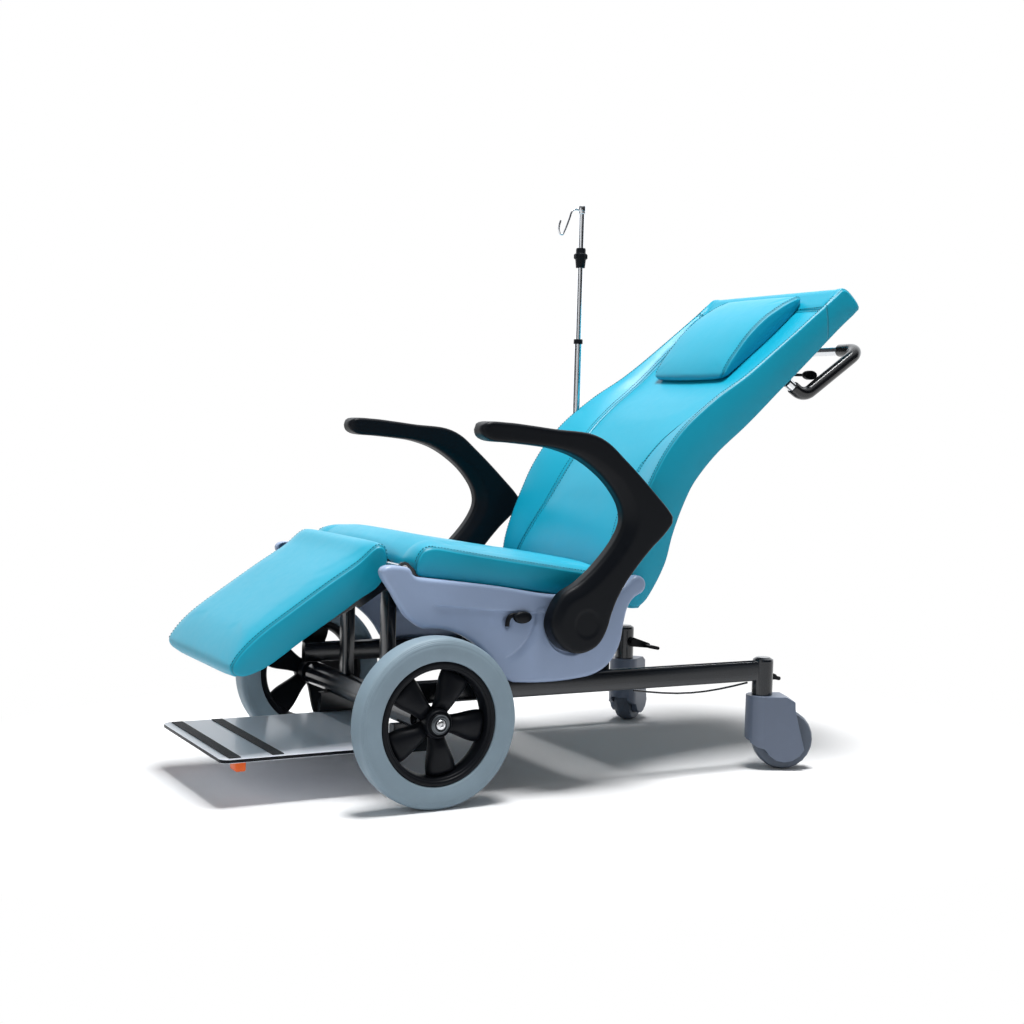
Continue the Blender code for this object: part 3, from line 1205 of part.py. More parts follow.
def make_pillow(group):
    count = len(PILLOW_SECTIONS)
    widths = [PILLOW_HALF_WIDTH - (0.012 if i in (0, count - 1) else 0.0) for i in range(count)]
    crowns = [PILLOW_CROWN * c for c in (0.1, 0.7, 1.0, 1.0, 1.0, 0.7, 0.1)]
    heights = []
    for width, crown in zip(widths, crowns):
        heights.append([(s * width, crown * (1 - abs(s) ** 4)) for s in (-1.0, -0.82, -0.35, 0.35, 0.82, 1.0)])
    columns = {"half_widths": widths, "heights": heights, "drawn_in": -0.001, "under": (0.9, 0.0, -0.9),
               "crease": 0.0}
    return finish(cushion("head_pillow", PILLOW_SECTIONS, columns), UPHOLSTERY, group)


def main():
    root = add_empty("wheelchair", (0, ROOT_Y, 0))
    back = add_empty("back_axis", (0, 0, 0), root)
    leg = add_empty("leg_axis", (0, 0, 0), root)
    make_axle_beam(root)
    make_seat_frame(root)
    make_seat_pan(root)
    make_seat_cushion(root)
    make_leg_shaft(root)
    make_footplate(root)
    make_tread("tread_front", TREAD_FRONT_Y, root)
    make_tread("tread_rear", TREAD_REAR_Y, root)
    make_leg_cushion(leg)
    make_leg_frame(leg)
    make_back_cushion(back)
    make_back_frame(back)
    make_back_board(back)
    make_push_bar(back)
    make_release_lever(back)
    make_pillow(back)
    make_pole_tube(root)
    make_pole_rod(root)
    make_pole_collar(root)
    for sign in (1, -1):
        make_tyre(sign, root)
        make_rim(sign, root)
        make_hub_cap(sign, root)
        make_axle_pin(sign, root)
        make_side_rail(sign, root)
        make_upright(sign, root)
        make_rear_support(sign, root)
        make_arm_pin(sign, root)
        make_back_pin(sign, root)
        make_runner(sign, root)
        make_brake_link(sign, root)
        make_brake_pedal(sign, root)
        make_side_shell(sign, root)
        make_side_lever(sign, root)
        make_armrest(sign, root)
        make_caster(sign, root)
        make_bumper(sign, root)
        make_grip(sign, back)


main()
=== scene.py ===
"""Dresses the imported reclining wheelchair: upholstery, plastics, paint, chrome, rubber, floor, light and camera."""

import json
import math

import bmesh
import bpy
import numpy as np
from mathutils import Matrix, Vector
from mathutils.bvhtree import BVHTree
from mathutils.geometry import delaunay_2d_cdt

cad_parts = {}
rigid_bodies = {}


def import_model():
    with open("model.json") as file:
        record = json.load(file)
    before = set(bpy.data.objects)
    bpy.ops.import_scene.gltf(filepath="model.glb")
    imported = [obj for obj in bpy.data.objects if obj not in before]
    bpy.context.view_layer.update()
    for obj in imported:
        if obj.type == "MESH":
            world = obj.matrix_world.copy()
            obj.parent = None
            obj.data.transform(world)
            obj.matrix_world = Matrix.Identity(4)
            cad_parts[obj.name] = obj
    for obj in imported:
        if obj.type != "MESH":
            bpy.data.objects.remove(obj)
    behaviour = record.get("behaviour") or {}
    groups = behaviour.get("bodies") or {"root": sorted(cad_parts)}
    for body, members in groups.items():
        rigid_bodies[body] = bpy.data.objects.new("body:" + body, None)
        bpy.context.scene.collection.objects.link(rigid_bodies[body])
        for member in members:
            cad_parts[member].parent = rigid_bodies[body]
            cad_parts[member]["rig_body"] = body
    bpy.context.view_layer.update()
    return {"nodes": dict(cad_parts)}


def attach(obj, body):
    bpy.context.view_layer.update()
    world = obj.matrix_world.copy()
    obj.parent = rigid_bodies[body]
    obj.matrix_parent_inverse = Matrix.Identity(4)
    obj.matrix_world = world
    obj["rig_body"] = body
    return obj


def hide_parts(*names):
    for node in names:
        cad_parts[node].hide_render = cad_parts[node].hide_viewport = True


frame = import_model()

AXLE_Y = -0.35625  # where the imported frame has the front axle
SIDES = (("left", 1), ("right", -1))


def chair(x, y, z):
    """A point given from the front axle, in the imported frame."""
    return Vector((x, y + AXLE_Y, z))


def mm(*values):
    """Millimetres as metres: numbers, or points of them."""
    return tuple(mm(*value) if isinstance(value, tuple) else value / 1000 for value in values)


# Camera and light

CAMERA_PLACE = (2.839, -1.244, 0.706)
CAMERA_TURN, CAMERA_TILT, CAMERA_ROLL = (math.radians(angle) for angle in (61.135, 3.307, 1.583))
CAMERA_LENS = 55.03
BACKDROP_TURN = math.radians(151)
LIT_FLOOR = (0.85, 1.35)  # the floor turns plain white between these distances


def set_camera():
    """Stands the camera where the photograph was taken from."""
    turn, tilt, roll = CAMERA_TURN, CAMERA_TILT, CAMERA_ROLL
    ahead = Vector((-math.sin(turn) * math.cos(tilt), math.cos(turn) * math.cos(tilt), -math.sin(tilt)))
    level = Vector((math.cos(turn), math.sin(turn), 0))
    upright = level.cross(ahead)
    right = math.cos(roll) * level + math.sin(roll) * upright
    up = -math.sin(roll) * level + math.cos(roll) * upright
    data = bpy.data.cameras.new("photograph")
    data.sensor_width = 36
    data.lens = CAMERA_LENS
    place = Matrix((right, up, -ahead)).transposed().to_4x4()
    place.translation = chair(*CAMERA_PLACE)
    camera = link("photograph", data)
    camera.matrix_world = place
    bpy.context.scene.camera = camera


def softbox(name, place, aim, width, height, power):
    """A rectangular lamp at place that faces aim."""
    data = bpy.data.lights.new(name, "AREA")
    data.shape = "RECTANGLE"
    data.size, data.size_y, data.energy = width, height, power
    lamp = link(name, data)
    lamp.location = place
    lamp.rotation_euler = (Vector(aim) - Vector(place)).to_track_quat("-Z", "Y").to_euler()


def link(name, data):
    """A new object in the scene."""
    obj = bpy.data.objects.new(name, data)
    bpy.context.scene.collection.objects.link(obj)
    return obj


# Materials: a socket with the sums that are used, and the material that it belongs to


class Signal:
    """One output in a material, with plain sums that add their nodes."""

    def __init__(self, finish, socket):
        self.finish = finish
        self.socket = socket

    def math(self, operation, *others):
        return self.finish.node("ShaderNodeMath", {"operation": operation}, dict(enumerate((self, *others))))

    def __add__(self, other):
        return self.math("ADD", other)

    def __mul__(self, other):
        return self.math("MULTIPLY", other)

    def __abs__(self):
        return self.math("ABSOLUTE")

    def least(self, other):
        return self.math("MINIMUM", other)

    def most(self, other):
        return self.math("MAXIMUM", other)

    def step(self, low, high, start=0.0, end=1.0):
        """Rises smoothly from start to end as this goes from low to high."""
        sockets = {"Value": self, "From Min": low, "From Max": high, "To Min": start, "To Max": end}
        return self.finish.node("ShaderNodeMapRange", {"interpolation_type": "SMOOTHSTEP"}, sockets)


class Nodes:
    """A node tree that is built one output at a time."""

    def __init__(self, tree):
        self.tree = tree

    def link(self, node, socket, value):
        target = node.inputs[socket]
        if isinstance(value, Signal):
            self.tree.links.new(value.socket, target)
        else:
            target.default_value = value

    def node(self, kind, settings=None, sockets=None, out=0):
        """Adds a node: its settings first, then its sockets' values or links. It gives one output."""
        made = self.tree.nodes.new(kind)
        for key, value in (settings or {}).items():
            setattr(made, key, value)
        for socket, value in (sockets or {}).items():
            self.link(made, socket, value)
        return Signal(self, made.outputs[out])

    def ray(self, kind):
        """Whether a ray is a Camera, Glossy or Transmission one."""
        return self.node("ShaderNodeLightPath", out=f"Is {kind} Ray")

    def axes(self, vector):
        """The three numbers of a vector."""
        split = self.tree.nodes.new("ShaderNodeSeparateXYZ")
        self.link(split, 0, vector)
        return [Signal(self, socket) for socket in split.outputs]

    def blend(self, share, a, b):
        """Shader a where share is 0, and b where it is 1."""
        return self.node("ShaderNodeMixShader", None, {0: share, 1: a, 2: b})


class Finish(Nodes):
    """A material whose shader is one Principled node."""

    def __init__(self, name, colour, roughness, **sockets):
        self.material = bpy.data.materials.new(name)
        self.material.use_nodes = True
        super().__init__(self.material.node_tree)
        self.shader = self.tree.nodes["Principled BSDF"]
        self.material.diffuse_color = (*colour, 1)
        self.set("Base Color", (*colour, 1))
        self.set("Roughness", roughness)
        for socket, value in sockets.items():
            self.set(socket.replace("_", " "), value)

    def set(self, socket, value):
        self.link(self.shader, socket, value)

    def place(self):
        """Object coordinates, in metres."""
        return self.node("ShaderNodeTexCoord", out="Object")

    def attribute(self, name):
        return self.node("ShaderNodeAttribute", {"attribute_name": name}, out="Fac")

    def noise(self, scale, detail=2.0, stretch=None):
        vector = self.place()
        if stretch:
            vector = self.node("ShaderNodeMapping", None, {"Vector": vector, "Scale": stretch})
        return self.node("ShaderNodeTexNoise", None, {"Vector": vector, "Scale": scale, "Detail": detail})

    def cells(self, scale, feature="F1"):
        return self.node("ShaderNodeTexVoronoi", {"feature": feature}, {"Vector": self.place(), "Scale": scale})

    def mix(self, share, a, b):
        """Colour a where share is 0, and b where it is 1."""
        colours = [value if isinstance(value, Signal) else (*value, 1) for value in (a, b)]
        made = self.tree.nodes.new("ShaderNodeMix")
        made.data_type = "RGBA"
        for socket, value in zip((0, 6, 7), (share, *colours)):
            self.link(made, socket, value)
        return Signal(self, made.outputs[2])

    def bump(self, height, depth, strength, under=None):
        """A bump whose full height is depth, in metres."""
        sockets = {"Height": height, "Distance": depth, "Strength": strength}
        if under:
            sockets["Normal"] = under
        return self.node("ShaderNodeBump", None, sockets)

    def wear(self, colour, drift, tones, spots, spot):
        """A base colour that drifts between two tones of it, with spots in a third."""
        tone = self.mix(drift, shade(colour, tones[0]), shade(colour, tones[1]))
        self.set("Base Color", self.mix(spots, tone, shade(colour, spot)))

    def grain(self, scale, depth, strength):
        self.set("Normal", self.bump(self.noise(scale), depth, strength))
        return self.material


def linear(code):
    """A colour written as six hex digits, as the shader takes it."""
    parts = [int(code[i : i + 2], 16) / 255 for i in (0, 2, 4)]
    return tuple(p / 12.92 if p <= 0.04045 else ((p + 0.055) / 1.055) ** 2.4 for p in parts)


def shade(colour, factor):
    return tuple(min(1.0, part * factor) for part in colour)


VINYL = linear("0C9FBC")
SHELL = linear("92A4C2")
BLACK = linear("090D13")
WHEEL_BLACK = linear("15181E")
RUBBER_GREY = linear("8598A4")
CASTER_GREY = linear("646F82")
FRAME_BLACK = linear("161B22")
PLATE_GREY = linear("E8EDF7")


def vinyl():
    """Coated cloth: fine leather grain, soft gloss, and a seam wherever the distance to a sewn line is near zero."""
    finish = Finish("vinyl", VINYL, 0.4, Coat_Weight=0.05, Coat_Roughness=0.32, Specular_IOR_Level=0.32)
    seam = abs(finish.attribute("edge"))
    for line in ("panel", "band"):
        seam = seam.least(abs(finish.attribute(line)))
    # painted shade: within about 2 mm of a seam the colour darkens towards a third of the vinyl's, standing in for the
    # shade that falls in the seam's groove
    near = seam.step(0.0004, 0.0022, 1.0, 0.0)
    tone = finish.mix(finish.noise(7.0, 3.0), shade(VINYL, 0.93), shade(VINYL, 1.06))
    finish.set("Base Color", finish.mix(near * 0.55, tone, shade(VINYL, 0.32)))
    finish.set("Roughness", finish.noise(60.0) * 0.10 + 0.36)
    skin = finish.bump(finish.cells(620.0, "SMOOTH_F1"), 0.00012, 0.35)
    skin = finish.bump(finish.noise(22.0), 0.0011, 0.35, skin)
    finish.set("Normal", finish.bump(seam.step(0.0, 0.0045), 0.0016, 0.9, skin))
    return finish.material


def moulded(name, colour, roughness, grain=0.00006, scale=900.0, **sockets):
    """Moulded plastic with a fine spark-eroded grain, a little drift in gloss and paler rubbed spots."""
    finish = Finish(name, colour, roughness, **sockets)
    drift = finish.noise(5.0, 3.0)
    rub = finish.noise(38.0, 4.0).step(0.52, 0.78)
    finish.wear(colour, drift, (0.94, 1.06), rub * 0.10, 1.5)
    finish.set("Roughness", drift * 0.10 + rub * 0.05 + (roughness - 0.06))
    return finish.grain(scale, grain, 0.5)


def painted(name, colour, roughness, metallic=0.0):
    """Powder paint: a soft orange-peel surface with fine flakes."""
    finish = Finish(name, colour, roughness, Metallic=metallic, Coat_Weight=0.35, Coat_Roughness=0.15)
    drift = finish.noise(6.0, 3.0)
    finish.wear(colour, drift, (0.92, 1.08), finish.cells(1500.0) * 0.25, 1.7)
    finish.set("Roughness", drift * 0.12 + (roughness - 0.06))
    return finish.grain(240.0, 0.0001, 0.4)


def plated(name, colour, roughness):
    """Bright plating with faint polishing lines."""
    finish = Finish(name, colour, roughness, Metallic=1.0)
    haze = finish.noise(14.0, 3.0)
    finish.set("Roughness", finish.noise(900.0, stretch=(1, 1, 0.05)) * 0.05 + haze * 0.05 + roughness)
    finish.set("Base Color", finish.mix(haze, shade(colour, 0.94), shade(colour, 1.03)))
    return finish.material


def rubber(name, colour, roughness, **sockets):
    """Matt rubber with a dusty drift in tone and a very fine grain."""
    finish = Finish(name, colour, roughness, Specular_IOR_Level=0.35, **sockets)
    dust = finish.noise(9.0, 4.0).step(0.35, 0.7)
    specks = finish.noise(160.0, 3.0).step(0.6, 0.8)
    finish.wear(colour, dust, (0.93, 1.05), specks * 0.15, 1.25)
    finish.set("Roughness", dust * 0.12 + (roughness - 0.06))
    return finish.grain(700.0, 0.0001, 0.5)


def grit():
    """Black safety strip: coarse mineral grains in tar."""
    colour = linear("17191D")
    finish = Finish("grit", colour, 0.8)
    grains = finish.cells(900.0)
    finish.set("Base Color", finish.mix(grains.step(0.1, 0.5), shade(colour, 1.9), colour))
    finish.set("Roughness", grains * 0.3 + 0.6)
    finish.set("Normal", finish.bump(grains, 0.0006, 0.8))
    return finish.material


def board():
    """Dark painted board behind the back."""
    colour = linear("23272E")
    finish = Finish("board", colour, 0.55)
    fibre = finish.noise(60.0, 5.0, stretch=(1, 1, 0.15))
    finish.set("Base Color", finish.mix(fibre, shade(colour, 0.8), shade(colour, 1.25)))
    finish.set("Roughness", fibre * 0.2 + 0.45)
    finish.set("Normal", finish.bump(fibre, 0.0002, 0.4))
    return finish.material


def pale_floor():
    """A pale floor that keeps the shadow near the chair and is plain white further out."""
    finish = Finish("pale_floor", (0.93, 0.93, 0.94), 0.7, Specular_IOR_Level=0.0)
    x, y, _ = finish.axes(finish.place())
    reach = (x * x * 1.6 + y * y).math("SQRT")
    tone = finish.noise(3.0)
    seen = finish.ray("Camera").most(finish.ray("Glossy")).most(finish.ray("Transmission"))
    pale = finish.mix(tone, (0.96, 0.96, 0.965), (0.99, 0.99, 0.995))
    finish.set("Base Color", finish.mix(seen, (0.72, 0.73, 0.75), pale))
    finish.set("Roughness", tone * 0.1 + 0.65)
    white = finish.node("ShaderNodeEmission", None, {"Color": (1, 1, 1, 1)})
    surface = Signal(finish, finish.shader.outputs[0])
    both = finish.blend(seen * reach.step(*LIT_FLOOR), surface, white)
    finish.link(finish.tree.nodes["Material Output"], 0, both)
    return finish.material


def set_world(level):
    """A plain studio: white where the camera looks, a soft even light, and for shiny things a lit backdrop on the
    far side, a bright ceiling and a lamp by the camera, with dark between."""
    world = bpy.data.worlds.new("studio")
    bpy.context.scene.world = world
    world.use_nodes = True
    world.node_tree.nodes.clear()
    studio = Nodes(world.node_tree)

    def light(colour, strength):
        return studio.node("ShaderNodeBackground", None, {"Color": (*colour, 1), "Strength": strength})

    place = studio.node("ShaderNodeTexCoord", out="Generated")
    sockets = {"Vector": place, "Angle": -BACKDROP_TURN}
    x, _, z = studio.axes(studio.node("ShaderNodeVectorRotate", {"rotation_type": "Z_AXIS"}, sockets))
    backdrop = x.step(0.02, 0.40, 0.02, 1.5)
    ceiling = z.step(0.45, 0.80, 0.0, 0.8)
    lamp = x.step(-0.93, -0.97, 0.0, 0.4)
    screens = light((0.95, 0.97, 1.0), backdrop.most(ceiling).most(lamp))
    shiny = studio.blend(studio.ray("Glossy"), light((0.95, 0.98, 1.0), level), screens)
    seen = studio.blend(studio.ray("Camera"), shiny, light((1, 1, 1), 1.0))
    studio.link(world.node_tree.nodes.new("ShaderNodeOutputWorld"), 0, seen)


def lay_floor():
    bpy.ops.mesh.primitive_plane_add(size=60)
    floor = bpy.context.active_object
    floor.name = "floor"
    floor.data.materials.append(pale_floor())


SOFT_LIGHT = 0.20
LAMPS = (  # name, place, aim, width, height and power
    ("overhead", (0.5, 0.1, 6.0), (0, 0, 0.3), 1.9, 2.1, 470),
    ("front", (0.9, -4.2, 2.4), (0, 0, 0.4), 2.4, 2.0, 14),
    ("camera_side", (2.4, -3.4, 1.5), (0, 0, 0.5), 2.0, 1.6, 7),
)

bpy.context.scene.view_settings.view_transform = "Standard"
set_camera()
set_world(SOFT_LIGHT)
lay_floor()
for lamp in LAMPS:
    softbox(*lamp)

finishes = {
    "vinyl": vinyl(),
    "shell": moulded("shell_plastic", SHELL, 0.42, 0.00005),
    "black": moulded("black_plastic", BLACK, 0.42, 0.00008, 700.0, Specular_IOR_Level=0.16),
    "wheel": moulded("wheel_plastic", shade(WHEEL_BLACK, 0.6), 0.42, Specular_IOR_Level=0.12),
    "caster": moulded("caster_plastic", CASTER_GREY, 0.42),
    "frame": painted("frame_paint", shade(FRAME_BLACK, 0.7), 0.24, 0.2),
    "plate": painted("plate_paint", PLATE_GREY, 0.42, 0.0),
    "chrome": plated("chrome", (0.80, 0.82, 0.85), 0.12),
    "steel": plated("steel", (0.62, 0.63, 0.65), 0.22),
    "tyre": rubber("tyre_rubber", RUBBER_GREY, 0.55),
    "caster_tyre": rubber("caster_rubber", linear("59626F"), 0.5),
    "dark_steel": plated("dark_steel", (0.10, 0.11, 0.12), 0.25),
    "grip": rubber("grip_rubber", linear("101216"), 0.28, Coat_Weight=0.6, Coat_Roughness=0.1),
    "bumper": rubber("bumper_rubber", linear("E8641E"), 0.45),
    "grit": grit(),
    "board": board(),
    "thread": rubber("thread", shade(VINYL, 0.18), 0.7),
}

nodes_with = {
    "frame": "axle_beam back_frame brake_link footplate_runner front_upright leg_frame rear_support seat_frame "
             "side_rail",
    "black": "armrest brake_pedal iv_collar release_lever side_lever",
    "steel": "arm_pin axle_pin caster_stem hub_cap leg_hinge_shaft",
    "vinyl": "back_cushion head_pillow leg_cushion seat_cushion",
    "chrome": "iv_rod iv_tube push_bar",
    "board": "back_board seat_pan",
    "grit": "tread_front tread_rear",
    "shell": "back_pin side_shell",
    "plate": "footplate", "grip": "grip", "bumper": "bumper", "tyre": "tyre", "wheel": "rim",
    "caster": "caster_hood", "caster_tyre": "caster_wheel",
}
finish_of = {kind: finish for finish, kinds in nodes_with.items() for kind in kinds.split()}


def kind_of(node):
    """A node's name without its side."""
    return node.removesuffix("_left").removesuffix("_right")


def body_of(node):
    """The body that a CAD node rides on."""
    return frame["nodes"][node]["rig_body"]


# Every CAD node takes its own finish, also the ones that a piece stands for.
for name, node in frame["nodes"].items():
    node.data.materials.clear()
    node.data.materials.append(finishes[finish_of[kind_of(name)]])


# Rigid pieces that keep the solid's shape, with its facets smoothed


def clean(mesh, merge, thin=0.0, flat=0.0):
    """Merges a mesh's doubles, drops edges that are as short as thin and edges between faces that turn less than
    flat, and turns its faces outwards and smooth."""
    work = bmesh.new()
    work.from_mesh(mesh)
    if merge:
        bmesh.ops.remove_doubles(work, verts=work.verts, dist=merge)
    if thin:
        bmesh.ops.dissolve_degenerate(work, dist=thin, edges=work.edges)
    bmesh.ops.recalc_face_normals(work, faces=work.faces)
    if flat:
        edges = [edge for edge in work.edges if edge.is_manifold and edge.calc_face_angle(0) < flat]
        bmesh.ops.dissolve_edges(work, edges=edges, use_verts=False, use_face_split=False)
    work.to_mesh(mesh)
    work.free()
    smooth_all(mesh)


def smooth_all(mesh):
    mesh.polygons.foreach_set("use_smooth", [True] * len(mesh.polygons))


SHARP_FROM = math.radians(32)
ROUNDED_FROM = math.radians(35)


def merged_copy(node, name):
    """A copy of a CAD node's mesh as one closed skin, smooth where it turns little."""
    mesh = frame["nodes"][node].data.copy()
    mesh.name = name
    clean(mesh, 0.00001, flat=0.002)
    mesh.set_sharp_from_angle(angle=SHARP_FROM)
    return link(name, mesh)


def soften(obj, width, segments=2):
    """A small rounded edge on a rigid piece."""
    bevel = obj.modifiers.new("edges", "BEVEL")
    bevel.width = width
    bevel.segments = segments
    bevel.limit_method = "ANGLE"
    bevel.angle_limit = ROUNDED_FROM
    bevel.harden_normals = True


def keep_result(piece):
    """Keeps the mesh that a piece's modifiers make, and removes the modifiers."""
    bpy.context.view_layer.update()
    mesh = bpy.data.meshes.new_from_object(piece.evaluated_get(bpy.context.evaluated_depsgraph_get()))
    mesh.name = piece.name
    piece.modifiers.clear()
    piece.data = mesh


def stand_for(obj, *nodes):
    """The piece takes the place of these nodes and rides where the first one rides."""
    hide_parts(*nodes)
    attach(obj, body_of(nodes[0]))
    return obj


smoothed = ("axle_beam", "seat_frame", "leg_frame", "back_frame", "release_lever", "side_rail", "front_upright",
            "rear_support", "footplate_runner", "brake_link", "caster_wheel")
rounded = {"bumper": 0.0008, "caster_hood": 0.001, "brake_pedal": 0.0008, "back_pin": 0.0008}
for name in frame["nodes"]:
    kind = kind_of(name)
    if kind in smoothed or kind in rounded:
        piece = merged_copy(name, name + "_skin")
        if kind in rounded:
            soften(piece, rounded[kind])
        stand_for(piece, name)


# Lines and skins that the pieces share


CURVE_STEPS = 24


def on_the_way(t, low, high, a, b):
    """The place at t on the way from a at low to b at high."""
    return (high - t) / (high - low) * a + (t - low) / (high - low) * b


def smooth_line(points, count, closed=False):
    """A smooth curve through the points, as count points that lie evenly along it."""
    points = np.array(points, float)
    if closed:
        around = np.vstack([points[-1], points, points[:2]])
    else:
        around = np.vstack([2 * points[0] - points[1], points, 2 * points[-1] - points[-2]])
    fine = []
    for four in zip(around, around[1:], around[2:], around[3:]):
        knots = np.cumsum([0, *(max(np.linalg.norm(b - a), 1e-6) ** 0.5 for a, b in zip(four, four[1:]))])
        for t in np.linspace(knots[1], knots[2], CURVE_STEPS, endpoint=False):
            spots = four
            for span in (1, 2):
                spots = [on_the_way(t, knots[i], knots[i + span], a, b)
                         for i, (a, b) in enumerate(zip(spots, spots[1:]))]
            fine.append(on_the_way(t, knots[1], knots[2], *spots))
    fine.append(points[0] if closed else points[-1])
    return even_line(np.array(fine), count + closed)[:count]


def run_length(line):
    """How far along a line each of its points lies."""
    return np.concatenate([[0], np.cumsum(np.linalg.norm(np.diff(line, axis=0), axis=1))])


def even_line(line, count):
    """The same line as count points at even steps."""
    lengths = run_length(line)
    steps = np.linspace(0, lengths[-1], count)
    return np.stack([np.interp(steps, lengths, line[:, i]) for i in range(line.shape[1])], axis=1)


def unit_rows(rows):
    return rows / np.linalg.norm(rows, axis=1, keepdims=True)


def right_of(rows):
    """Each direction turned a quarter to the right."""
    return np.stack([rows[:, 1], -rows[:, 0]], axis=1)


def skin(name, points, faces, finish, smooth=180.0, merge=0.00002):
    """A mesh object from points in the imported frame, with its doubles merged and its faces turned outwards."""
    mesh = bpy.data.meshes.new(name)
    mesh.from_pydata([tuple(point) for point in points], [], [tuple(face) for face in faces])
    clean(mesh, merge, merge / 4)
    if smooth < 180.0:
        mesh.set_sharp_from_angle(angle=math.radians(smooth))
    mesh.materials.append(finishes[finish])
    return link(name, mesh)


def grid_faces(rows, columns, start=0, wrap=False):
    """Quads over rows of points, closed across the columns where wrap is set."""
    faces = []
    for row in range(rows - 1):
        for column in range(columns if wrap else columns - 1):
            after = (column + 1) % columns
            corner = start + row * columns
            faces.append((corner + column, corner + after, corner + columns + after, corner + columns + column))
    return faces


# Upholstery: a top panel that wraps round both ends, two side panels, and an underside


SEAM_ROLL, ROLL_WIDTH = 0.0026, 0.006  # the top panel's round edge
SIDE_BULGE, SIDE_ROLL, CORNER = 0.0012, 0.0014, 0.005
SIDE_STEPS = (0.0, 0.04, 0.10, 0.20, 0.35, 0.5, 0.65, 0.80, 0.90, 0.96, 1.0)
DRAWN_IN = 0.002  # how much narrower the underside is
FACTS = ("edge", "panel", "band", "held")


def smoothstep(value, low, high):
    share = np.clip((value - low) / (high - low), 0, 1)
    return share * share * (3 - 2 * share)


def quarter_round(share):
    """Rises like a quarter of a circle's height, from 0 at 0 to 1 at 1 and above."""
    return math.sin(min(share, 1.0) * math.pi / 2)


def places_across(half, seam=None):
    """Places across a panel from one side seam to the other, closer together near the sewn lines."""
    edges = half - np.array((0.0, 0.0022, 0.005, 0.009))
    if seam is None:
        inner = np.linspace(-(half - 0.016), half - 0.016, 46)
        return np.concatenate([-edges, inner, edges[::-1]])
    out = np.concatenate([[seam, seam + 0.003], np.linspace(seam + 0.008, half - 0.0135, 9), edges[::-1]])
    inside = np.concatenate([np.linspace(0, seam - 0.008, 14), [seam - 0.003]])
    half_row = np.concatenate([inside, out])
    return np.concatenate([-half_row[:0:-1], half_row])


def cushion_cover(name, upper, lower, half_width, rise, bolster=None, band_length=None, hollow=None, count=96):
    """A sewn cover. upper and lower are lines of (y, z) from one end of the side panels to the other, half_width
    gives the half width and rise the top panel's height over its seams at a place on upper, and hollow the depth
    and width of a recess in the underside. It keeps each point's distance from the sewn lines: the side seams, the
    bolster seams, and a band's seam that lies band_length before the end."""
    top, low = smooth_line(upper, count), smooth_line(lower, count)
    share = np.linspace(0, 1, count)
    run = unit_rows(np.gradient(top, axis=0))
    normal = right_of(run) * (1.0 if np.cross(run, low - top).sum() > 0 else -1.0)
    into = right_of(unit_rows(np.gradient(low, axis=0)))
    into *= np.sign((into * (top - low)).sum(axis=1).sum())
    length = run_length(top)
    widths = np.array([half_width(s, spot) for s, spot in zip(share, top)])
    to_bands = length - (length[-1] - band_length) if band_length else np.ones(count)
    points, faces, facts = [], [], []

    def add_sheet(row_at, *given):
        rows = [list(row_at(i, *given)) for i in range(count)]
        faces.extend(grid_faces(count, len(rows[0]), len(points)))
        for x, spot, *known in (entry for row in rows for entry in row):
            points.append(tuple(chair(x, *spot)))
            facts.append(known)

    def top_row(i):
        seam = bolster(top[i], widths[i]) if bolster else None
        on_band = abs(to_bands[i]) <= length[-1] / count * 0.5
        for x in places_across(widths[i], seam):
            to_panel = abs(x) - seam if bolster and to_bands[i] < 0.0 else 1.0
            inward = widths[i] - abs(x)
            held = inward < 0.001 or on_band or abs(to_panel) < 0.0005
            lift = rise(share[i], top[i], x, widths[i]) + SEAM_ROLL * quarter_round(inward / ROLL_WIDTH)
            yield x, top[i] + normal[i] * lift, inward, to_panel, to_bands[i], float(held)

    def side_row(i, sign):
        gap = max(float(np.linalg.norm(top[i] - low[i])), 1e-6)
        for step in SIDE_STEPS:
            down, up = step * gap, (1 - step) * gap
            corners = quarter_round(down / CORNER) * quarter_round(up / CORNER)
            bulge = SIDE_ROLL * corners + SIDE_BULGE * math.sin(math.pi * step) * min(gap / 0.04, 1.0)
            bulge -= DRAWN_IN * smoothstep(step, 0.3, 1.0)
            spot = top[i] + (low[i] - top[i]) * step
            yield sign * (widths[i] + bulge), spot, -down, 1.0, to_bands[i], float(step in (0.0, 1.0))

    def under_row(i):
        outer = widths[i] - DRAWN_IN
        depth, wide = hollow(share[i], low[i], outer) if hollow else (0.0, outer - 0.02)
        places = [-outer, -(wide + 0.0005), -wide, *np.linspace(-wide, wide, 12)[1:-1], wide, wide + 0.0005, outer]
        for j, x in enumerate(places):
            yield x, low[i] + into[i] * (depth if 2 <= j <= len(places) - 3 else 0.0), 1.0, 1.0, 1.0, 1.0

    add_sheet(top_row)
    add_sheet(side_row, 1)
    add_sheet(side_row, -1)
    add_sheet(under_row)
    mesh = bpy.data.meshes.new(name)
    mesh.from_pydata(points, [], faces)
    for label, values in zip(FACTS, zip(*facts)):
        mesh.attributes.new(label, "FLOAT", "POINT").data.foreach_set("value", list(values))
    clean(mesh, 0.00008, 0.00002)
    mesh.materials.append(finishes["vinyl"])
    return link(name, mesh)


CLOTH_FRAMES = 20
CLOTH = {
    "quality": 6, "mass": 0.3, "tension_stiffness": 12, "compression_stiffness": 12, "shear_stiffness": 6,
    "bending_stiffness": 2.5, "use_pressure": True,
}


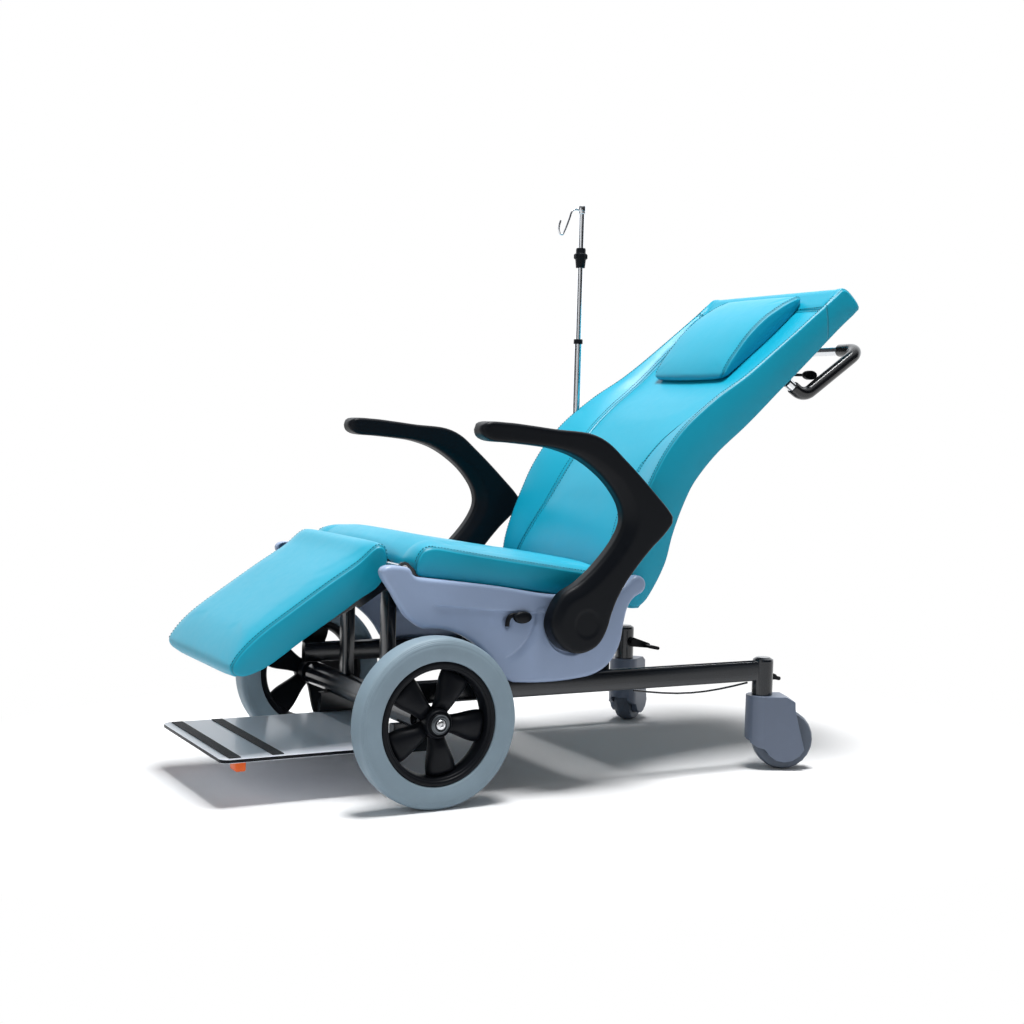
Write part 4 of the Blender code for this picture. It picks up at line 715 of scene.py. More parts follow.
def inflate(piece, pressure, most):
    """Blows the cover up as cloth between its sewn lines, with no point moving further than most."""
    scene = bpy.context.scene
    mesh = piece.data
    count = len(mesh.vertices)
    rest, found, held = np.empty(count * 3), np.empty(count * 3), np.empty(count)
    mesh.vertices.foreach_get("co", rest)
    mesh.attributes["held"].data.foreach_get("value", held)
    group = piece.vertex_groups.new(name="sewn")
    group.add([i for i in range(count) if held[i] > 0.5], 1.0, "REPLACE")
    cloth = piece.modifiers.new("cloth", "CLOTH")
    for key, value in {**CLOTH, "uniform_pressure_force": pressure, "vertex_group_mass": group.name}.items():
        setattr(cloth.settings, key, value)
    cloth.settings.effector_weights.gravity = 0
    cloth.collision_settings.use_collision = False
    cloth.point_cache.frame_start = 1
    cloth.point_cache.frame_end = CLOTH_FRAMES
    for step in range(1, CLOTH_FRAMES + 1):
        scene.frame_set(step)
    blown = piece.evaluated_get(bpy.context.evaluated_depsgraph_get())
    blown.data.vertices.foreach_get("co", found)
    piece.modifiers.remove(cloth)
    piece.vertex_groups.remove(group)
    scene.frame_set(1)
    move = (found - rest).reshape(-1, 3)
    size = np.maximum(np.linalg.norm(move, axis=1, keepdims=True), 1e-9)
    move *= np.minimum(size, most) / size
    mesh.vertices.foreach_set("co", (rest.reshape(-1, 3) + move).ravel())
    mesh.update()


def refine(piece):
    """One subdivision, kept on the piece."""
    finer = piece.modifiers.new("finer", "SUBSURF")
    finer.levels = finer.render_levels = 1
    finer.boundary_smooth = "PRESERVE_CORNERS"
    keep_result(piece)


def sewing_tree():
    """Stitches along a line: capsules that lie along it at an even pitch."""
    tree = bpy.data.node_groups.new("sewing", "GeometryNodeTree")
    given = {"Line": "Geometry", "Pitch": "Float", "Stitch Length": "Float", "Thread": "Float", "Finish": "Material"}
    for label, kind in given.items():
        tree.interface.new_socket(label, in_out="INPUT", socket_type="NodeSocket" + kind)
    tree.interface.new_socket("Stitches", in_out="OUTPUT", socket_type="NodeSocketGeometry")
    sewing = Nodes(tree)
    sockets = tree.nodes.new("NodeGroupInput").outputs
    line, pitch, length, thread, finish = (Signal(sewing, sockets[label]) for label in given)
    curve = sewing.node("GeometryNodeMeshToCurve", None, {"Mesh": line})
    spots = sewing.node("GeometryNodeCurveToPoints", {"mode": "LENGTH"}, {"Curve": curve, "Length": pitch})
    turn = Signal(sewing, spots.socket.node.outputs["Rotation"])
    bead = sewing.node("GeometryNodeMeshUVSphere", None, {"Segments": 6, "Rings": 4, "Radius": 0.5})
    size = sewing.node("ShaderNodeCombineXYZ", None, {"X": thread, "Y": thread, "Z": length})
    sockets = {"Points": spots, "Rotation": turn, "Instance": bead, "Scale": size}
    placed = sewing.node("GeometryNodeInstanceOnPoints", None, sockets)
    solid = sewing.node("GeometryNodeRealizeInstances", None, {"Geometry": placed})
    look = sewing.node("GeometryNodeSetMaterial", None, {"Geometry": solid, "Material": finish})
    sewing.link(tree.nodes.new("NodeGroupOutput"), "Stitches", look)
    return tree


def grow(obj, tree, values):
    """Runs a Geometry Nodes tree on an object with these named inputs, and keeps the mesh that comes out."""
    modifier = obj.modifiers.new("grow", "NODES")
    modifier.node_group = tree
    for item in tree.interface.items_tree:
        if item.item_type == "SOCKET" and item.in_out == "INPUT" and item.name in values:
            modifier[item.identifier] = values[item.name]
    keep_result(obj)
    smooth_all(obj.data)


STITCH_PITCH, STITCH_LENGTH, THREAD, STITCH_HEIGHT = 0.0066, 0.0046, 0.0014, 0.0007


def stitched(name, cover, lines, body):
    """Rows of stitches that lie on a cover along lines of points near it."""
    tree = BVHTree.FromObject(cover, bpy.context.evaluated_depsgraph_get())
    points, edges = [], []
    for line in lines:
        start = len(points)
        for point in even_line(np.array(line, float), max(4, len(line))):
            spot, normal, _, _ = tree.find_nearest(chair(*point))
            points.append(spot + normal * STITCH_HEIGHT)
        edges.extend((i, i + 1) for i in range(start, len(points) - 1))
    mesh = bpy.data.meshes.new(name)
    mesh.from_pydata(points, edges, [])
    rows = link(name, mesh)
    sizes = {"Pitch": STITCH_PITCH, "Stitch Length": STITCH_LENGTH, "Thread": THREAD}
    grow(rows, stitches, {**sizes, "Finish": finishes["thread"]})
    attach(rows, body)


def seam_row(upper, half_width, inward, rise, start, end):
    """A line along both seams of a cushion's top panel, inward of the seam, from start to end of its length."""
    top, share = smooth_line(upper, 160), np.linspace(0, 1, 160)
    kept = (share >= start) & (share <= end)
    return [[(sign * (half_width(s, spot) - inward), spot[0], spot[1] + rise)
             for s, spot in zip(share[kept], top[kept])] for sign in (1, -1)]


# The padded pieces: outlines from the side, widths and heights


SEAT_UPPER = mm(
    (413.5, 376), (415, 390), (412.5, 402.5), (404, 409), (334, 420), (270, 430), (200, 440.8), (114, 454.5),
    (60, 463.8), (30, 469), (12, 470), (-2, 465.5), (-12, 453), (-17, 437.5), (-16.5, 429),
)
SEAT_LOWER = mm(
    (413.5, 376), (408, 368.5), (392, 362.5), (330, 369.3), (200, 387.7), (100, 401.8), (20, 413.1), (0, 415.9),
    (-11, 419.5), (-16.5, 429),
)
LEG_UPPER = mm(
    (-58, 400), (-50.5, 412), (-48, 430), (-48, 452), (-53, 466.5), (-62.5, 469.5), (-74, 463.5), (-100, 441.5),
    (-164.9, 399.8), (-228.4, 357.3), (-290.8, 314), (-321.3, 287), (-337, 268), (-342.5, 256.5), (-340, 247),
    (-332, 240.5),
)
LEG_LOWER = mm(
    (-58, 400), (-66, 390.5), (-98, 370.5), (-130.2, 348.8), (-210.5, 296.9), (-273.2, 255), (-298, 244), (-318, 239),
    (-332, 240.5),
)
BACK_UPPER = mm(
    (482, 344), (460, 345.5), (444, 356), (439.5, 375), (438, 428), (454, 490), (479, 552), (503, 603), (535, 654),
    (578, 703), (655, 764), (735, 815), (833, 889), (931, 966), (970, 997.5), (983, 1007), (996, 1003), (1026, 976),
    (1031, 968), (1028, 964),
)
BACK_LOWER = mm(
    (482, 344), (503, 366), (540, 428), (557, 487), (578, 541), (600, 583), (627, 616), (667, 655), (740, 712),
    (812, 774), (885, 838), (970, 915), (1012, 951), (1028, 964),
)
PILLOW_UPPER = mm(
    (757, 809.5), (752.5, 813.5), (754.5, 823.5), (769, 848), (786, 870), (809, 898.5), (834, 923.5), (861, 946),
    (888, 963.5), (915, 979), (936, 988.5), (948.5, 992.5), (954.5, 988.5), (951, 976),
)
PILLOW_LOWER = mm((757, 809.5), (771, 820), (810, 849.5), (858, 887), (907, 929), (940, 960.5), (951, 976))
BOLSTER_HEIGHTS = mm(352, 372, 428, 490, 552, 603, 654, 703, 764, 815, 889, 966, 996, 1009)
BOLSTER_SEAM = mm(215, 206, 190, 168, 150, 142, 140, 150, 174, 195, 209, 214, 212, 206)
PANEL_DEPTH = mm(0, 3, 10, 17, 24, 28, 30, 30, 30, 28, 23.5, 17, 7, 2)
BAND_LENGTH = 0.126
SEAT_SEAM = 0.203
TOP_SEAM = 0.206
TOP_END_Y = 0.984  # the back's top end face starts here


def seat_rise(share, spot, x, half):
    crown = 0.002 + 0.0105 * smoothstep(share, 0.02, 0.12) * smoothstep(1 - share, 0.07, 0.17)
    ridge = 0.0026 * math.sin(math.pi * min(1.0, (half - abs(x)) / (half - SEAT_SEAM)))
    return crown * (1 - abs(x / half) ** 5) + (ridge if abs(x) > SEAT_SEAM else 0.0006 * (1 - (x / SEAT_SEAM) ** 2))


def seat_seam(spot, half):
    return SEAT_SEAM


def leg_rise(share, spot, x, half):
    crown = 0.002 + 0.0065 * smoothstep(share, 0.13, 0.22) * smoothstep(1 - share, 0.04, 0.2)
    return crown * (1 - abs(x / half) ** 8)


def pillow_rise(share, spot, x, half):
    crown = 0.001 + 0.003 * smoothstep(share, 0.03, 0.2) * smoothstep(1 - share, 0.03, 0.2)
    return crown * (1 - abs(x / half) ** 3)


def bolster_at(spot, half):
    """Where the bolster seam runs at this height, or straight on over the top end face."""
    if spot[0] > TOP_END_Y:
        return TOP_SEAM
    return min(float(np.interp(spot[1], BOLSTER_HEIGHTS, BOLSTER_SEAM)), half - 0.018)


def back_depth(spot):
    """How deep the middle panel lies between the bolsters at this height."""
    return float(np.interp(spot[1], BOLSTER_HEIGHTS, PANEL_DEPTH)) if spot[0] < TOP_END_Y else 0.0


def back_rise(share, spot, x, half):
    seam = bolster_at(spot, half)
    depth = back_depth(spot) * float(smoothstep(share, 0.015, 0.06))
    if abs(x) <= seam:
        return -depth + 0.0012 * (1 - (x / seam) ** 2)
    out = (abs(x) - seam) / (half - seam)
    bulge = 0.0016 * min(1.0, (half - seam) / 0.06)
    return -depth * (1 - out) ** 1.05 + bulge * math.sin(math.pi * out)


def drawn_end(share, drop, reach):
    """How much narrower a cushion gets at its ends, within reach of them."""
    return drop * float(smoothstep(-min(share, 1 - share), -reach, 0.0))


def seat_half(share, spot):
    return 0.2562 - drawn_end(share, 0.003, 0.03)


def leg_half(share, spot):
    return 0.1915 - drawn_end(share, 0.003, 0.05)


def back_half(share, spot):
    taper = min(1.0, 1.6 * max(0.0, (spot[1] - 0.6) / 0.409))
    return 0.2478 - 0.0138 * taper - drawn_end(share, 0.004, 0.02)


def pillow_half(share, spot):
    return 0.1285 - drawn_end(share, 0.010, 0.05)


def back_hollow(share, spot, outer):
    """The recess behind the back, which holds its tubes and its board."""
    wide = min(0.2337, outer - 0.0075)
    inside = 0.03 < share < 0.965
    return (0.0303 if inside else 0.0), wide


SEAM_GAP, PILLOW_GAP, BOLSTER_GAP, BAND_GAP = 0.0042, 0.0036, 0.0035, 0.0045  # from a seam to its stitches
UNDER_PILLOW = 0.136  # half the width of the place where the pillow lies


def sewn_pieces():
    """The four padded pieces and their stitches."""
    seat = cushion_cover("seat_cover", SEAT_UPPER, SEAT_LOWER, seat_half, seat_rise, seat_seam)
    inflate(seat, 1.6, 0.003)
    leg = cushion_cover("leg_cover", LEG_UPPER, LEG_LOWER, leg_half, leg_rise)
    inflate(leg, 1.8, 0.0007)
    back = cushion_cover("back_cover", BACK_UPPER, BACK_LOWER, back_half, back_rise, bolster_at, BAND_LENGTH,
                         back_hollow, 150)
    inflate(back, 2.5, 0.003)
    pillow = cushion_cover("pillow_cover", PILLOW_UPPER, PILLOW_LOWER, pillow_half, pillow_rise, count=70)
    inflate(pillow, 2.5, 0.004)
    press_under(back, PILLOW_LOWER, UNDER_PILLOW)
    for cover, node, fill in ((seat, "seat_cushion", 0.9), (leg, "leg_cushion", 0.9), (back, "back_cushion", 0.85),
                              (pillow, "head_pillow", 0.8)):
        refine(cover)
        stand_for(cover, node)
    stitched("seat_stitches", seat, seam_row(SEAT_UPPER, seat_half, SEAM_GAP, 0.002, 0.05, 0.97), "base")
    stitched("leg_stitches", leg, seam_row(LEG_UPPER, leg_half, SEAM_GAP, 0.002, 0.06, 0.95), "leg_rest")
    rows = seam_row(BACK_UPPER, back_half, SEAM_GAP, 0.002, 0.05, 0.90)
    rows.extend(bolster_line(sign, aside) for aside in (-BOLSTER_GAP, BOLSTER_GAP) for sign in (1, -1))
    rows.extend(band_line(along) for along in (-BAND_GAP, BAND_GAP))
    stitched("back_stitches", back, rows, "back")
    stitched("pillow_stitches", pillow, seam_row(PILLOW_UPPER, pillow_half, PILLOW_GAP, 0.001, 0.06, 0.94), "back")


def bolster_line(sign, aside):
    """Beside a bolster seam, from the seat up to the top band."""
    return [(sign * (bolster_at(spot, back_half(share, spot)) + aside), spot[0], spot[1] - back_depth(spot) * 0.7)
            for share, spot in zip(np.linspace(0, 1, 300), smooth_line(BACK_UPPER, 300))
            if spot[1] > 0.37 and share < 0.865]


def band_line(along):
    """Across the back beside the top band's seam."""
    top = smooth_line(BACK_UPPER, 600)
    length = run_length(top)
    at = length[-1] - BAND_LENGTH + along
    spot = (float(np.interp(at, length, top[:, 0])), float(np.interp(at, length, top[:, 1])))
    half = back_half(0.87, spot) - 0.006
    lower = back_depth(spot)
    return [(x, spot[0] + 0.6 * lower * (1 - abs(x / half) ** 6), spot[1] - 0.7 * lower * (1 - abs(x / half) ** 6))
            for x in np.linspace(-half, half, 80)]


def left_of(line, run, spot):
    """The direction to a line's left where it is nearest to a spot, and how far out on that side the spot lies."""
    near = int(np.argmin(((line - spot) ** 2).sum(axis=1)))
    out = np.array((-run[near, 1], run[near, 0]))
    return out, float((spot - line[near]) @ out)


def draw_back(vertex, way, size):
    vertex.co.y -= way[0] * size
    vertex.co.z -= way[1] * size


def press_under(piece, line, half, clear=0.0006, border=0.02):
    """Presses a cover in where a pillow lies on it, so that it stays under the pillow's line."""
    under = smooth_line(line, 200)
    run = unit_rows(np.gradient(under, axis=0))
    for vertex in piece.data.vertices:
        spot = np.array((vertex.co.y - AXLE_Y, vertex.co.z))
        if abs(vertex.co.x) > half + border or spot[1] < under[0][1] - border:
            continue
        out, above = left_of(under, run, spot)
        if -clear < above < 0.03:
            ease = float(smoothstep(abs(vertex.co.x), half, half + border))
            draw_back(vertex, out, (above + clear) * (1 - ease))


def thin_straps(frame_piece, start=-0.115, height=0.0045):
    """Keeps the leg rest's straps tucked up under its cushion, as the photograph shows none."""
    under = smooth_line(LEG_LOWER, 300)
    run = unit_rows(np.gradient(under, axis=0))
    for vertex in frame_piece.data.vertices:
        spot = np.array((vertex.co.y - AXLE_Y, vertex.co.z))
        if spot[0] > start:
            continue
        out, below = left_of(under, run, spot)
        if out[1] > 0:
            out, below = -out, -below
        if below > height:
            draw_back(vertex, out, below - height)


thin_straps(bpy.data.objects["leg_frame_skin"])
stitches = sewing_tree()
sewn_pieces()


# Moulded pieces: an outline seen from the side, with a height at every place inside it


def distance_to(points, line):
    """How far each point lies from a line of points."""
    start, run = line[:-1], np.diff(line, axis=0)
    away = points[:, None, :] - start[None]
    share = np.clip((away * run).sum(axis=2) / np.maximum((run ** 2).sum(axis=1), 1e-12), 0, 1)
    return np.linalg.norm(away - share[..., None] * run, axis=2).min(axis=1)


def lies_inside(points, outline):
    """Whether each point lies inside a closed outline."""
    inside = np.zeros(len(points), bool)
    for (y0, z0), (y1, z1) in zip(outline, np.roll(outline, -1, axis=0)):
        if z0 == z1:
            continue
        crosses = (z0 > points[:, 1]) != (z1 > points[:, 1])
        inside ^= crosses & (points[:, 0] < (y1 - y0) * (points[:, 1] - z0) / (z1 - z0) + y0)
    return inside


def round_points(centre, radius, count):
    """Evenly spaced points on a circle."""
    turns = np.linspace(0, 2 * math.pi, count, endpoint=False)
    return np.stack([centre[0] + radius * np.cos(turns), centre[1] + radius * np.sin(turns)], axis=1)


def arc(centre, radius, start, end, count):
    """Points on a circle from one angle to another, in degrees."""
    turns = np.radians(np.linspace(start, end, count))
    return [(centre[0] + radius * math.cos(turn), centre[1] + radius * math.sin(turn)) for turn in turns]


def closed(line):
    """The line with its first point once more at its end."""
    return np.vstack([line, line[:1]])


def fill_outline(outline, insets, spacing, extra=(), holes=()):
    """Points and triangles that fill a clockwise outline, in rows that follow its edge, then on a grid."""
    loop = closed(outline)
    inward = right_of(unit_rows(np.roll(outline, -1, axis=0) - np.roll(outline, 1, axis=0)))
    rows = [outline]
    for depth in insets:
        row = outline + inward * depth
        rows.append(row[lies_inside(row, outline) & (distance_to(row, loop) > depth * 0.97)])
    low, high = outline.min(axis=0), outline.max(axis=0)
    across, up = np.meshgrid(np.arange(low[0], high[0], spacing), np.arange(low[1], high[1], spacing))
    across[::2] += spacing / 2
    grid = np.stack([across.ravel(), up.ravel()], axis=1)
    grid = grid[lies_inside(grid, outline)]
    grid = grid[distance_to(grid, loop) > insets[-1] + spacing * 0.5]
    rings = [ring[lies_inside(ring, outline)] for ring in extra]
    rings = [ring[distance_to(ring, loop) > insets[0]] for ring in rings]
    for ring in rings:
        if len(ring) > 8:
            grid = grid[distance_to(grid, closed(ring)) > spacing * 0.35]
    points = [Vector(point) for point in np.vstack([*rows, grid, *rings])]
    rim = [(i, (i + 1) % len(outline)) for i in range(len(outline))]
    spots, _, faces, *_ = delaunay_2d_cdt(points, rim, [], 1, 0.0000001)
    spots = np.array([tuple(spot) for spot in spots])
    middles = np.array([spots[list(face)].mean(axis=0) for face in faces])
    kept = np.ones(len(faces), bool)
    for centre, radius in holes:
        kept &= np.linalg.norm(middles - centre, axis=1) > radius
    return spots, [face for face, keep in zip(faces, kept) if keep]


def round_over(distance, radius):
    """How far a rounded edge falls back at this distance from it."""
    left = np.clip(1 - distance / radius, 0, 1)
    return radius * (1 - np.sqrt(1 - left ** 2))


ROUND_STEPS = (0.034, 0.134, 0.293, 0.5, 0.741, 1.0)


def softly_above(value, soft):
    """The value where it is above nought, with a soft bend at nought."""
    return 0.5 * (value + np.sqrt(value ** 2 + soft ** 2))


ARM_OUTLINE = mm(
    (86, 703.5), (129, 704), (180, 699.5), (231, 694), (308, 687), (345, 672), (383, 641.5), (420, 609), (457, 574),
    (490, 541), (500, 524), (484, 499), (447, 464), (400, 410), (378, 376), (364, 344), (354, 313), (335, 285),
    (307, 272), (278, 273), (250, 292), (234, 321), (237, 348), (258, 383), (295, 405), (337, 441), (375, 487),
    (389, 519), (385, 548), (363, 582), (330, 613), (285, 641), (235, 657), (198, 662), (145, 666.5), (92, 671),
    (77, 681), (74.5, 694),
)
ARM_INNER_LINE = ARM_OUTLINE[33:18:-1]
ARM_X = (0.2835, 0.3315)
ARM_EDGE = 0.0065
ARM_HINGE = (0.309, 0.327)
FACET_HEIGHTS = mm(272, 300, 330, 400, 520, 600, 645, 662)
FACET_WIDTHS = mm(2, 11, 16, 22, 27, 22, 12, 3)
FACET_SLOPE = 0.42


def arm_fall(points, loop, inner):
    """How far the arm's flat side falls back: a rounded edge, a soft facet along the bend, and a dish at the boss."""
    fall = round_over(distance_to(points, loop), ARM_EDGE)
    width = np.interp(points[:, 1], FACET_HEIGHTS, FACET_WIDTHS)
    fall = fall + FACET_SLOPE * softly_above(width - distance_to(points, inner), 0.0025)
    front = np.clip((points[:, 0] - 0.0745) / 0.016, 0, 1)
    fall = fall + 0.010 * (1 - np.sqrt(1 - (1 - front) ** 2))
    out = np.linalg.norm(points - ARM_HINGE, axis=1)
    fall = fall + 0.0012 * smoothstep(-out, -0.031, -0.022)
    return np.minimum(fall, 0.0185)


def wall(sign, outline, outer, inner, rows):
    """Rows of points along an outline, from their outer places in x to their inner ones."""
    return [chair(sign * (start * (1 - share) + end * share), *spot)
            for share in np.linspace(0, 1, rows) for start, end, spot in zip(outer, inner, outline)]


def make_arm(sign, side):
    outline = smooth_line(ARM_OUTLINE, 240, True)
    loop = closed(outline)
    inner = smooth_line(ARM_INNER_LINE, 160)
    rings = [round_points(ARM_HINGE, radius, 48) for radius in mm(20, 22, 24.5, 27, 29.5, 31, 33)]
    spots, triangles = fill_outline(outline, [ARM_EDGE * step for step in ROUND_STEPS], 0.0045, rings)
    fall = arm_fall(spots, loop, inner)
    edge = arm_fall(outline, loop, inner)
    points, faces = [], []
    for x, way in ((ARM_X[1], -1), (ARM_X[0], 1)):
        start = len(points)
        points.extend(chair(sign * (x + way * drop), *spot) for spot, drop in zip(spots, fall))
        faces.extend(tuple(start + i for i in face) for face in triangles)
    faces.extend(grid_faces(5, len(outline), len(points), True))
    points.extend(wall(sign, outline, ARM_X[1] - edge, ARM_X[0] + edge, 5))
    stand_for(skin("arm_" + side, points, faces, "black"), "armrest_" + side)


SHELL_X = 0.2825
SHELL_RIM_X = 0.260
SHELL_THICKNESS = 0.0035
SHELL_EDGE = 0.008
SHELL_INSIDE = (0.24, 0.20, 0.30)
SHELL_FRONT = mm(
    (-42, 345), (-58, 368), (-73, 392), (-95, 424.5), (-95.5, 433.5), (-87.5, 439.5), (-76, 441.2), (-43, 437),
    (-36.5, 434), (-34, 424), (-26, 419.5), (-5, 416.3), (143, 397.5), (248, 380), (300, 375.5), (345, 374),
    (412, 384), (432, 396),
)
SHELL_REAR = mm(
    (462, 374.5), (447, 367), (434, 350), (425, 317), (417, 276), (394, 240), (361, 221), (309, 213), (234, 211),
    (180, 214.5),
)
BACK_HINGE = (0.455, 0.392)
BACK_BOSS = 0.019
WHEEL_ARCH = 0.1665
RECESS_CENTRE = (0.306, 0.323)
RECESS_RADIUS = 0.063
RECESS_DEPTH = 0.0075
CREASE_LINE = mm((0, 367.5), (60, 362.5), (140, 354), (200, 348.5), (252, 344))
SWOOSH_LINE = mm((226, 349), (222, 328), (213, 308), (196, 288), (176, 273), (158, 264))
LEVER_POCKET = (0.163, 0.330)
LEVER_KNOB = (0.191, 0.339)


def side_of_line(points, line):
    """Distance from a line of points, positive on its right, the distance past its nearest place, and the share of
    its length there."""
    near = np.linalg.norm(points[:, None, :] - line[None], axis=2).argmin(axis=1)
    run = unit_rows(np.gradient(line, axis=0))
    gap = points - line[near]
    return (gap * right_of(run)[near]).sum(axis=1), (gap * run[near]).sum(axis=1), near / (len(line) - 1)


def carved(points, line, way, depth, share_of, near, far):
    """How deep a line is carved in on one side of it, sharply from near[0] to near[1] and softly from far[0] on.
    share_of gives the part of the depth along the line."""
    aside, past, share = side_of_line(points, smooth_line(line, 200))
    ends = share_of(share) * (np.abs(past) < 0.004)
    return depth * ends * smoothstep(way * aside, *near) * (1 - smoothstep(way * aside, *far))


def shell_fall(points, loop):
    """How far the shell's side falls back from its outermost plane."""
    away = distance_to(points, loop)
    fall = round_over(away, SHELL_EDGE) + 0.0016 * (1 - smoothstep(away, 0.0, 0.05))
    out = np.linalg.norm(points - RECESS_CENTRE, axis=1)
    in_recess = 1 - smoothstep(out, RECESS_RADIUS - 0.0045, RECESS_RADIUS)
    fall = fall + carved(points, CREASE_LINE, 1, 0.0036, lambda share: smoothstep(share, 0.0, 0.12),
                         (-0.0008, 0.0022), (0.003, 0.045))
    fall = fall + carved(points, SWOOSH_LINE, -1, 0.0060, lambda share: (1 - share) ** 0.6,
                         (-0.0006, 0.0024), (0.003, 0.020))
    pocket = np.linalg.norm((points - LEVER_POCKET) / (1.0, 1.25), axis=1)
    fall = fall + 0.0022 * (1 - smoothstep(pocket, 0.0085, 0.0105))
    return fall * (1 - in_recess) + RECESS_DEPTH * in_recess


def make_shell(sign, side):
    boss = arc(BACK_HINGE, BACK_BOSS, 140, -58, 30)
    arch = arc((0, WHEEL_RADIUS), WHEEL_ARCH, 26, 94, 40)
    loop = np.vstack([smooth_line(SHELL_FRONT, 200), boss, smooth_line(SHELL_REAR, 160), arch, SHELL_FRONT[:1]])
    outline = even_line(loop, 401)[:-1]
    for _ in range(3):
        outline = outline / 2 + (np.roll(outline, 1, axis=0) + np.roll(outline, -1, axis=0)) / 4
    loop = closed(outline)
    crease, swoosh = smooth_line(CREASE_LINE, 90), smooth_line(SWOOSH_LINE, 50)
    extra = [round_points(RECESS_CENTRE, r, 96) for r in mm(57.5, 58.5, 59.7, 60.8, 61.8, 63, 64.5)]
    extra += [round_points(ARM_HINGE, r, 24) for r in mm(10.6, 12.5)]
    extra += [round_points(LEVER_POCKET, r, 32) * (1, 1.2) - (0, LEVER_POCKET[1] * 0.2) for r in mm(8, 8.9, 9.8, 10.8)]
    extra += [crease - (0, step) for step in mm(-1, 0, 0.8, 1.6, 2.4, 4)]
    extra += [swoosh + (step, 0) for step in mm(-1, 0, 0.8, 1.6, 2.5, 4)]
    spots, faces = fill_outline(outline, [SHELL_EDGE * step for step in ROUND_STEPS], 0.0042, extra,
                                [(ARM_HINGE, 0.0105)])
    points = [chair(sign * (SHELL_X - drop), *spot) for spot, drop in zip(spots, shell_fall(spots, loop))]
    faces = [*faces, *grid_faces(4, len(outline), len(points), True)]
    edge = shell_fall(outline, loop)
    points.extend(wall(sign, outline, SHELL_X - edge, np.full(len(edge), SHELL_RIM_X), 4))
    shell = skin("shell_" + side, points, faces, "shell")
    flip_towards(shell, chair(sign * SHELL_INSIDE[0], *SHELL_INSIDE[1:]))
    thicken = shell.modifiers.new("thicken", "SOLIDIFY")
    thicken.thickness = SHELL_THICKNESS
    thicken.offset = -1.0
    keep_result(shell)
    stand_for(shell, "side_shell_" + side)


def flip_towards(piece, inside):
    """Turns an open skin's faces so that they look away from a point."""
    mesh = piece.data
    facing = sum(face.normal.dot(face.center - inside) * face.area for face in mesh.polygons)
    if facing < 0:
        mesh.flip_normals()


KNOB_SIZE = (0.0195, 0.0118)
KNOB_PROFILE = (  # out of the shell, and the share of the size there
    (0.0, 0.0), (0.0, 0.80), (0.0025, 0.96), (0.006, 1.0), (0.009, 0.93), (0.0108, 0.78), (0.0118, 0.45),
    (0.0121, 0.0),
)
LEVER_LINE = mm((160.5, 322.5), (161.5, 333), (166, 341), (176, 343.5), (188, 342))
LEVER_SECTION = ((0.0, -1), (0.0030, -1), (0.0042, -0.6), (0.0045, 0.0), (0.0042, 0.6), (0.0030, 1), (0.0, 1))
LEVER_HALF_WIDTH = 0.0042


def make_side_lever(sign, side):
    """An oval knob on a short arm that comes out of a slot."""
    x = SHELL_X + 0.0004
    points = []
    for along, share in KNOB_PROFILE:
        ring = round_points((0, 0), share, 28) * KNOB_SIZE + LEVER_KNOB
        points.extend(chair(sign * (x + along), *spot) for spot in ring)
    faces = grid_faces(len(KNOB_PROFILE), 28, 0, True)
    start, sides = len(points), len(LEVER_SECTION)
    arm = smooth_line(LEVER_LINE, 14)
    for i, spot in enumerate(arm):
        way = arm[min(i + 1, 13)] - arm[max(i - 1, 0)]
        way *= LEVER_HALF_WIDTH / np.linalg.norm(way)
        points.extend(chair(sign * (x + out), spot[0] + way[1] * wide, spot[1] - way[0] * wide)
                      for out, wide in LEVER_SECTION)
    faces.extend(grid_faces(len(arm), sides, start, True))
    faces.extend((range(start, start + sides), range(len(points) - sides, len(points))))
    stand_for(skin("lever_" + side, points, faces, "black", merge=0.0), "side_lever_" + side)


# Turned pieces, tubes, wheels, the push bar, the pole and the footplate


def turned(name, profile, centre, finish, axis, sides, smooth=38.0, closed=True):
    """A profile of (radius, along) in millimetres turned round an axis through centre: 0 for x, 2 for z."""
    points = []
    for radius, along in mm(*profile):
        for turn in np.linspace(0, 2 * math.pi, sides, endpoint=False):
            a, b = radius * math.cos(turn), radius * math.sin(turn)
            offset = (along, a, b) if axis == 0 else (a, b, along)
            points.append(tuple(c + o for c, o in zip(centre, offset)))
    faces = grid_faces(len(profile), sides, 0, True)
    if closed:
        last = (len(profile) - 1) * sides
        faces.extend((last + i, last + (i + 1) % sides, (i + 1) % sides, i) for i in range(sides))
    return skin(name, points, faces, finish, smooth)


def rounded_path(corners, radius, steps):
    """A path through corners, each turned into an arc."""
    corners = [Vector(corner) for corner in corners]
    path = [corners[0]]
    for before, corner, after in zip(corners, corners[1:], corners[2:]):
        first, second = (before - corner).normalized(), (after - corner).normalized()
        half = first.angle(second) / 2
        reach = min(radius / math.tan(half), (before - corner).length * 0.48, (after - corner).length * 0.48)
        size = reach * math.tan(half)
        middle = corner + (first + second).normalized() * (size / math.sin(half))
        start = (corner + first * reach - middle).normalized()
        end = (corner + second * reach - middle).normalized()
        path.extend(middle + start.slerp(end, step / steps) * size for step in range(steps + 1))
    return [*path, corners[-1]]


